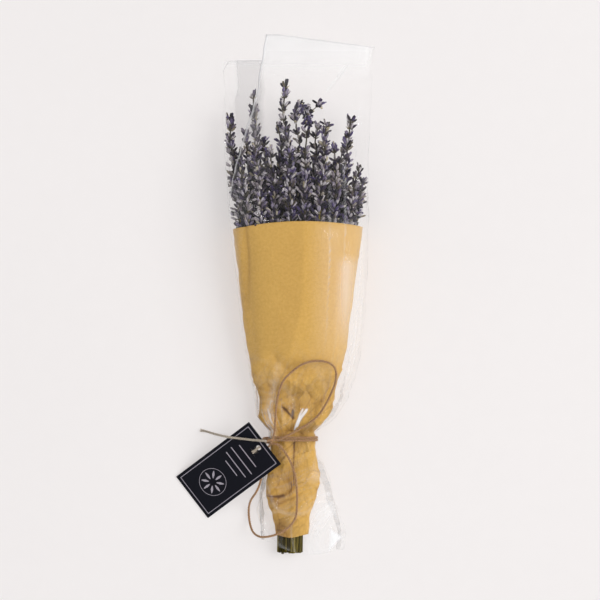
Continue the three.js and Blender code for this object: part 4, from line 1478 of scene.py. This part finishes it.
# %% A shared group: fine mottle
def new_group(name, inputs, outputs):
    """An empty group of nodes. An input is a number, or a place where it is given as None."""
    group = bpy.data.node_groups.new(name, "ShaderNodeTree")
    for label, value in inputs.items():
        kind = "NodeSocketVector" if value is None else "NodeSocketFloat"
        socket = group.interface.new_socket(label, in_out="INPUT", socket_type=kind)
        if value is not None:
            socket.default_value = value
    for label in outputs:
        group.interface.new_socket(label, in_out="OUTPUT", socket_type="NodeSocketFloat")
    return group, group.nodes.new("NodeGroupInput").outputs, group.nodes.new("NodeGroupOutput")


def make_mottle():
    """Coarse and fine noise: mixed as the mask, and the fine one alone as the height."""
    inputs = {"Place": None, "Coarse": 200.0, "Fine": 2500.0}
    group, given, result = new_group("fine mottle", inputs, ("Mask", "Height"))
    coarse, fine = (
        node(group, "ShaderNodeTexNoise", {"Vector": given["Place"], "Scale": given[size], "Detail": 3})
        for size in ("Coarse", "Fine"))
    part = maths(group, "MULTIPLY", fine.outputs["Fac"], 0.4)
    mask = maths(group, "MULTIPLY_ADD", coarse.outputs["Fac"], 0.6, part)
    fill(group, result, {"Mask": mask, "Height": fine.outputs["Fac"]})
    return group


mottle = make_mottle()


def place_mottle(tree, coarse, fine, place=None):
    """The mottle in a finish, on Object coordinates unless another place is given."""
    sockets = {"Place": place or object_place(tree), "Coarse": coarse, "Fine": fine}
    return node(tree, "ShaderNodeGroup", sockets, node_tree=mottle).outputs


print("The mottle group has", len(mottle.nodes), "nodes")

# %% [markdown]
# Paper and film both have creases finer than their meshes. A second group makes them as a bump. Cells
# are strewn through space, each one is a flat with a tilt of its own, and creases run between them.

# %% A shared group: crackle
def make_crackle():
    """Flats and creases of a crumpled sheet: a height, and a mask that is 1 on the creases.

    The height of a flat is how far a point lies from the cell's middle along the cell's own colour.
    """
    group, given, result = new_group("crackle", {"Place": None, "Size": 90.0}, ("Height", "Crease"))
    warp = node(group, "ShaderNodeTexNoise", {"Vector": given["Place"], "Scale": 45})
    push = node(group, "ShaderNodeVectorMath", {0: warp.outputs["Color"], "Scale": 0.014}, operation="SCALE")
    moved = vector_maths(group, "ADD", given["Place"], push.outputs[0])[0]
    cells, lines = (
        node(group, "ShaderNodeTexVoronoi", {"Vector": moved, "Scale": given["Size"]}, feature=kind).outputs
        for kind in ("F1", "DISTANCE_TO_EDGE"))
    span = {"Value": lines["Distance"], "From Max": 0.07, "To Min": 1, "To Max": 0}
    crease = node(group, "ShaderNodeMapRange", span).outputs["Result"]
    away = vector_maths(group, "SUBTRACT", moved, cells["Position"])[0]
    tilt = vector_maths(group, "SUBTRACT", cells["Color"], (0.5, 0.5, 0.5))[0]
    along_tilt = vector_maths(group, "DOT_PRODUCT", away, tilt)["Value"]
    height = maths(group, "MULTIPLY", along_tilt, given["Size"])
    fill(group, result, {"Height": height, "Crease": crease})
    return group


crackle = make_crackle()


def place_crackle(tree, size, stretch):
    """The crackle in a finish, stretched along the axes as given."""
    sockets = {"Place": stretched(tree, object_place(tree), stretch), "Size": size}
    return node(tree, "ShaderNodeGroup", sockets, node_tree=crackle).outputs


print("The crackle group has", len(crackle.nodes), "nodes")

# %% [markdown]
# Kraft paper is yellow-brown, with faint ribs from the roller across the sheet and small fibres. Its
# creases are darkened, partly as wear and partly as painted shade, with a painted shadow in the deepest
# folds. The ribs follow the flat sheet's own map, so that they bend with it.

# %% Kraft paper
KRAFT = [(0.3, (210, 163, 75)), (0.5, (219, 173, 85)), (0.7, (227, 183, 95))]
WEAR_AND_SHADE_COLOUR, DEEP_FOLD_SHADOW, RIBBED = (140, 94, 36), (84, 54, 20), (150, 106, 52)
RIB_STRETCH = (30, 1400, 1)


def kraft_material():
    """Ribbed, fibrous paper, darker where the mesh says that it is creased, by wear and painted shade."""
    material, tree, shader = new_material("kraft paper")
    fibres = place_mottle(tree, 420.0, 3600.0)
    sheet = stretched(tree, node(tree, "ShaderNodeUVMap", {}).outputs["UV"], RIB_STRETCH)
    ribs = node(tree, "ShaderNodeTexNoise", {"Vector": sheet, "Scale": 1, "Detail": 2}).outputs["Fac"]
    crumple = place_crackle(tree, 62.0, (1, 0.55, 1))
    loose, crease = attribute(tree, "loose"), attribute(tree, "crease")
    # Fine creases and the mesh's crease value darken the paper, partly as wear and partly as painted shade.
    fine_wear_and_shade = maths(tree, "MULTIPLY", maths(tree, "MULTIPLY", crumple["Crease"], loose), 0.12)
    wear_and_shade = maths(tree, "ADD", fine_wear_and_shade, maths(tree, "MULTIPLY", crease, 0.7), clamp=True)
    # Past 1, the crease value adds a painted shadow in the deepest folds.
    deepest = maths(tree, "MULTIPLY", maths(tree, "SUBTRACT", crease, 1), 2.2, clamp=True)
    colour = mix(tree, wear_and_shade, ramp(tree, fibres["Mask"], KRAFT), WEAR_AND_SHADE_COLOUR)
    colour = mix(tree, deepest, colour, DEEP_FOLD_SHADOW)
    colour = mix(tree, maths(tree, "MULTIPLY", ribs, 0.10), colour, RIBBED)
    height = maths(tree, "MULTIPLY_ADD", fibres["Height"], 0.0065, maths(tree, "MULTIPLY", ribs, 0.005))
    height = maths(tree, "MULTIPLY_ADD", crumple["Height"], loose, height)
    fill(tree, shader, {"Roughness": 0.58, "Base Color": colour, "Normal": bump(tree, height, 0.85, 0.015)})
    return material


dress([paper], kraft_material())
print("Kraft paper is dressed")

# %% [markdown]
# Clear film shows only by what it mirrors, and by a white haze where it has been creased. So its shader
# is a mirror, and its alpha says how much it mirrors: little when seen square on, much at a glancing
# angle. Only the side of the wall that faces out counts, or each wall would mirror twice. The mesh's
# white value also holds painted highlights and reflections, and its second value a painted grey shade.

# %% Clear film
HAZE_AND_HIGHLIGHT, GREY_SHADE = (251, 251, 251), (150, 147, 150)
MIRROR_GAIN, MIRROR_FROM, MIRROR_MOST = 1.3, -0.047, 0.5
NOT_ZERO = 0.0001


def film_material():
    """A mirror by its alpha, and matt white or grey where the mesh says so: haze on creases, painted
    highlights and reflections, and painted grey shade.
    """
    material, tree, shader = new_material("clear film")
    small, large = place_crackle(tree, 150.0, (1, 0.5, 1)), place_crackle(tree, 55.0, (1, 0.4, 1))
    smoke = attribute(tree, "smoke")
    white = maths(tree, "ADD", attribute(tree, "white"), smoke, clamp=True)
    dark = maths(tree, "DIVIDE", smoke, maths(tree, "ADD", white, NOT_ZERO), clamp=True)
    facing = node(tree, "ShaderNodeLayerWeight", {"Blend": 0.36}).outputs["Fresnel"]
    mirror = maths(tree, "MULTIPLY_ADD", facing, MIRROR_GAIN, MIRROR_FROM, clamp=True)
    mirror = maths(tree, "MINIMUM", mirror, MIRROR_MOST)
    clear_part = maths(tree, "MULTIPLY", mirror, maths(tree, "SUBTRACT", 1, white))
    cover = maths(tree, "ADD", clear_part, white, clamp=True)
    outside = maths(tree, "SUBTRACT", 1, node(tree, "ShaderNodeNewGeometry", {}).outputs["Backfacing"])
    matt = maths(tree, "DIVIDE", white, maths(tree, "ADD", cover, NOT_ZERO))
    height = maths(tree, "MULTIPLY_ADD", small["Height"], 0.2, large["Height"])
    height = maths(tree, "MULTIPLY", height, attribute(tree, "loose"))
    fill(tree, shader, {
        "Base Color": mix(tree, dark, HAZE_AND_HIGHLIGHT, GREY_SHADE),
        "Alpha": maths(tree, "MULTIPLY", cover, outside, clamp=True),
        "Metallic": maths(tree, "SUBTRACT", 1, matt, clamp=True),
        "Roughness": maths(tree, "MULTIPLY_ADD", white, 0.4, 0.1),
        "Normal": bump(tree, height, 0.3, 0.0035),
    })
    return material


dress([film], film_material())
film.visible_shadow = False
bpy.context.scene.cycles.transparent_max_bounces = 32
print("The film is dressed")

# %% [markdown]
# Stems are olive to straw brown, with streaks along them and a pale pith at the cut end.

# %% Stems
BARK = [(0.25, (8, 6, 0)), (0.46, (66, 57, 8)), (0.7, (134, 119, 48))]
PITH = (186, 168, 118)
STREAK_STRETCH = (1, 0.06, 1)


def stem_material():
    """Streaked stem. The value "tone" is each stem's own shade."""
    material, tree, shader = new_material("dry stem")
    streaks = place_mottle(tree, 900.0, 3600.0, stretched(tree, object_place(tree), STREAK_STRETCH))
    streak = maths(tree, "MULTIPLY", streaks["Mask"], 0.7)
    shade = maths(tree, "MULTIPLY_ADD", attribute(tree, "tone"), 0.35, streak)
    fill(tree, shader, {
        "Roughness": 0.8,
        "Specular IOR Level": 0.2,
        "Base Color": mix(tree, attribute(tree, "pith"), ramp(tree, shade, BARK), PITH),
        "Normal": bump(tree, streaks["Height"], 0.5, 0.0002),
    })
    return material


dress(stems, stem_material())
print("Stems are dressed")

# %% [markdown]
# A dry calyx is grey-green at its foot and dusty purple at its mouth, and no two are alike. The value
# "rise" runs along each calyx, "tint" is its own shade, "furrow" is 1 between its ribs, and "woody" marks
# the brown bracts and stem. The furrows are darkened as painted shade.

# %% Flowers
VIOLET = [(0.18, (12, 7, 20)), (0.42, (56, 43, 86)), (0.62, (116, 101, 156)), (0.80, (188, 178, 202)),
          (0.96, (238, 230, 236))]
FADED = [(0.18, (14, 10, 14)), (0.42, (64, 52, 67)), (0.62, (122, 108, 120)), (0.80, (192, 180, 186)),
         (0.96, (238, 229, 229))]
GREY = [(0.15, (44, 40, 34)), (0.6, (94, 88, 76)), (1.0, (160, 152, 132))]
STRAW = [(0.15, (44, 38, 26)), (0.5, (92, 82, 58)), (1.0, (190, 178, 142))]
FURROW_SHADE = (18, 13, 18)


def mask(tree, source, low, high):
    """Black where the value is below low, white where it is above high."""
    return ramp(tree, source, [(low, (0, 0, 0)), (high, (255, 255, 255))])


def flower_material():
    """Calyxes from grey to purple, some faded, with furrows darkened as painted shade, and straw for what is
    woody.
    """
    material, tree, shader = new_material("dried lavender")
    down = place_mottle(tree, 700.0, 4200.0)
    patches = place_mottle(tree, 55.0, 160.0)
    downy = maths(tree, "MULTIPLY", down["Mask"], 0.3)
    shade = maths(tree, "MULTIPLY_ADD", attribute(tree, "tint"), 0.92, downy)
    violet, faded, grey, straw = (ramp(tree, shade, stops) for stops in (VIOLET, FADED, GREY, STRAW))
    mouth = mix(tree, mask(tree, patches["Mask"], 0.44, 0.56), faded, violet)
    calyx = mix(tree, mask(tree, attribute(tree, "rise"), 0.0, 0.4), grey, mouth)
    ribbed = mix(tree, maths(tree, "MULTIPLY", attribute(tree, "furrow"), 0.75), calyx, FURROW_SHADE)
    fill(tree, shader, {
        "Roughness": 0.85,
        "Sheen Weight": 0.2,
        "Sheen Roughness": 0.5,
        "Base Color": mix(tree, attribute(tree, "woody"), ribbed, straw),
        "Normal": bump(tree, down["Height"], 0.6, 0.0002),
    })
    return material


dress(spikes, flower_material())
print("Spikes are dressed")

# %% [markdown]
# Jute is a rough brown fibre. The value "groove" darkens the grooves between the strands as painted
# shade, and the loose hairs are paler than the twine because light shines through them. The two ends
# are bleached by wear.

# %% Jute twine
JUTE = [(0.3, (132, 92, 60)), (0.5, (188, 143, 100)), (0.7, (216, 178, 134))]
BLEACHED = [(0.3, (164, 146, 124)), (0.5, (204, 192, 174)), (0.7, (226, 218, 204))]
GROOVE_SHADE, HAIRS = (96, 62, 38), (222, 204, 176)


def jute_material(name, stops):
    """Mottled fibre with grooves darkened as painted shade, and pale hairs."""
    material, tree, shader = new_material(name)
    fibres = place_mottle(tree, 800.0, 5200.0)
    groove = maths(tree, "MULTIPLY", attribute(tree, "groove"), 0.8)
    grooved = mix(tree, groove, ramp(tree, fibres["Mask"], stops), GROOVE_SHADE)
    fill(tree, shader, {
        "Roughness": 0.8,
        "Sheen Weight": 0.2,
        "Base Color": mix(tree, attribute(tree, "hairy"), grooved, HAIRS),
        "Normal": bump(tree, fibres["Height"], 0.8, 0.0004),
    })
    return material


dress((twine_loop_upper, twine_loop_lower, twine_binding, twine_knot), jute_material("jute twine", JUTE))
dress((twine_tail_left, twine_tail_short), jute_material("jute twine, bleached", BLEACHED))
print("Twine is dressed")

# %% [markdown]
# The tag is uncoated near-black card with a trace of blue, a fine tooth, and pale ink on it.

# %% Tag card and ink
CARD = [(0.3, (4, 5, 12)), (0.7, (11, 12, 24))]
PALE_INK = [(0.3, (146, 138, 150)), (0.7, (190, 184, 192))]


def card_material():
    """Matt card with a fine tooth."""
    material, tree, shader = new_material("black card")
    tooth = place_mottle(tree, 500.0, 6000.0)
    fill(tree, shader, {
        "Roughness": 0.6,
        "Specular IOR Level": 0.15,
        "Base Color": ramp(tree, tooth["Mask"], CARD),
        "Normal": bump(tree, tooth["Height"], 0.3, 0.0001),
    })
    return material


def ink_material():
    """Pale ink, a little rubbed."""
    material, tree, shader = new_material("pale ink")
    wear = place_mottle(tree, 900.0, 5000.0)["Mask"]
    fill(tree, shader, {"Roughness": 0.6, "Base Color": ramp(tree, wear, PALE_INK)})
    return material


dress([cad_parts["tag"]], card_material())
dress(tag_marks, ink_material())
print("The tag is dressed")

# %% [markdown]
# The floor is plain and nearly white, as in the photo. It is a light table: half of its brightness is its
# own, which keeps the shadows on it faint. It is large, so that no edge of it shows from the side, and it
# lies a hair under the bunch. It is part of the stage and not of the object.

# %% Floor
FLOOR_SIZE, FLOOR_DROP = 12, 0.0003
FLOOR_GLOW = (183, 179, 178)
FLOOR_COLOURS = [(0.3, (176, 174, 173)), (0.7, (179, 177, 176))]

bpy.ops.object.select_all(action="DESELECT")
bpy.ops.mesh.primitive_plane_add(size=FLOOR_SIZE, location=(0, 0, 0))
floor = bpy.context.object
floor.name = "floor"
floor.data.transform(Matrix.Translation((0, 0, -FLOOR_DROP)))
floor_material, floor_tree, floor_shader = new_material("pale floor")
fill(floor_tree, floor_shader, {
    "Roughness": 0.9,
    "Specular IOR Level": 0.1,
    "Base Color": ramp(floor_tree, place_mottle(floor_tree, 3.0, 60.0)["Mask"], FLOOR_COLOURS),
    "Emission Color": FLOOR_GLOW,
    "Emission Strength": 1.0,
})
dress([floor], floor_material)
floor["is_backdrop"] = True
print("The floor is laid")

# %% [markdown]
# The light is soft. A big panel on the right gives the shading, and a panel overhead fills. Film would
# mirror both as white sheets, so they are kept out of reflections. Three narrow strips are mirrored
# instead and give the film its crisp streaks, and the room round it gives a faint even sheen.

# %% Lights
MIRRORED_ROOM, ROOM_LIGHT, ROOM_SEEN = (226, 226, 226), (172, 172, 174), (240, 238, 237)


def panel(name, place, size, size_y, power, glossy=True):
    """A rectangular lamp that faces the bunch."""
    data = bpy.data.lights.new(name, "AREA")
    data.shape = "RECTANGLE"
    data.size, data.size_y, data.energy = size, size_y, power
    lamp = bpy.data.objects.new(name, data)
    bpy.context.scene.collection.objects.link(lamp)
    lamp.location = place
    lamp.rotation_euler = (-Vector(place)).to_track_quat("-Z", "Y").to_euler()
    lamp.visible_glossy = glossy


panel("key panel", (3.6, 0.7, 3.6), 3.7, 3.7, 150, glossy=False)
panel("overhead panel", (0, 0, 4.0), 4.0, 4.0, 22, glossy=False)
panel("left strip", (-1.6, 0.3, 2.4), 0.04, 1.4, 3)
panel("right strip", (1.3, -0.2, 2.6), 0.04, 1.4, 3)
panel("low strip", (0.5, -2.2, 1.8), 1.4, 0.04, 3)

world = bpy.data.worlds.new("studio")
bpy.context.scene.world = world
world.use_nodes = True
sky = world.node_tree
rays = node(sky, "ShaderNodeLightPath", {}).outputs
mirrored = mix(sky, rays["Is Glossy Ray"], ROOM_LIGHT, MIRRORED_ROOM)
fill(sky, sky.nodes["Background"], {"Color": mix(sky, rays["Is Camera Ray"], mirrored, ROOM_SEEN)})
bpy.context.scene.view_settings.view_transform = "Standard"
print("The light is set")

# %% [markdown]
# At the end the size of the dressed bunch is printed beside that of its solids. The looks must not
# make it larger.

# %% Sizes, and the end
new_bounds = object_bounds()
for name, (low, high) in (("Solids", cad_bounds), ("Dressed", new_bounds)):
    print(name, [round(b - a, 4) for a, b in zip(low, high)])
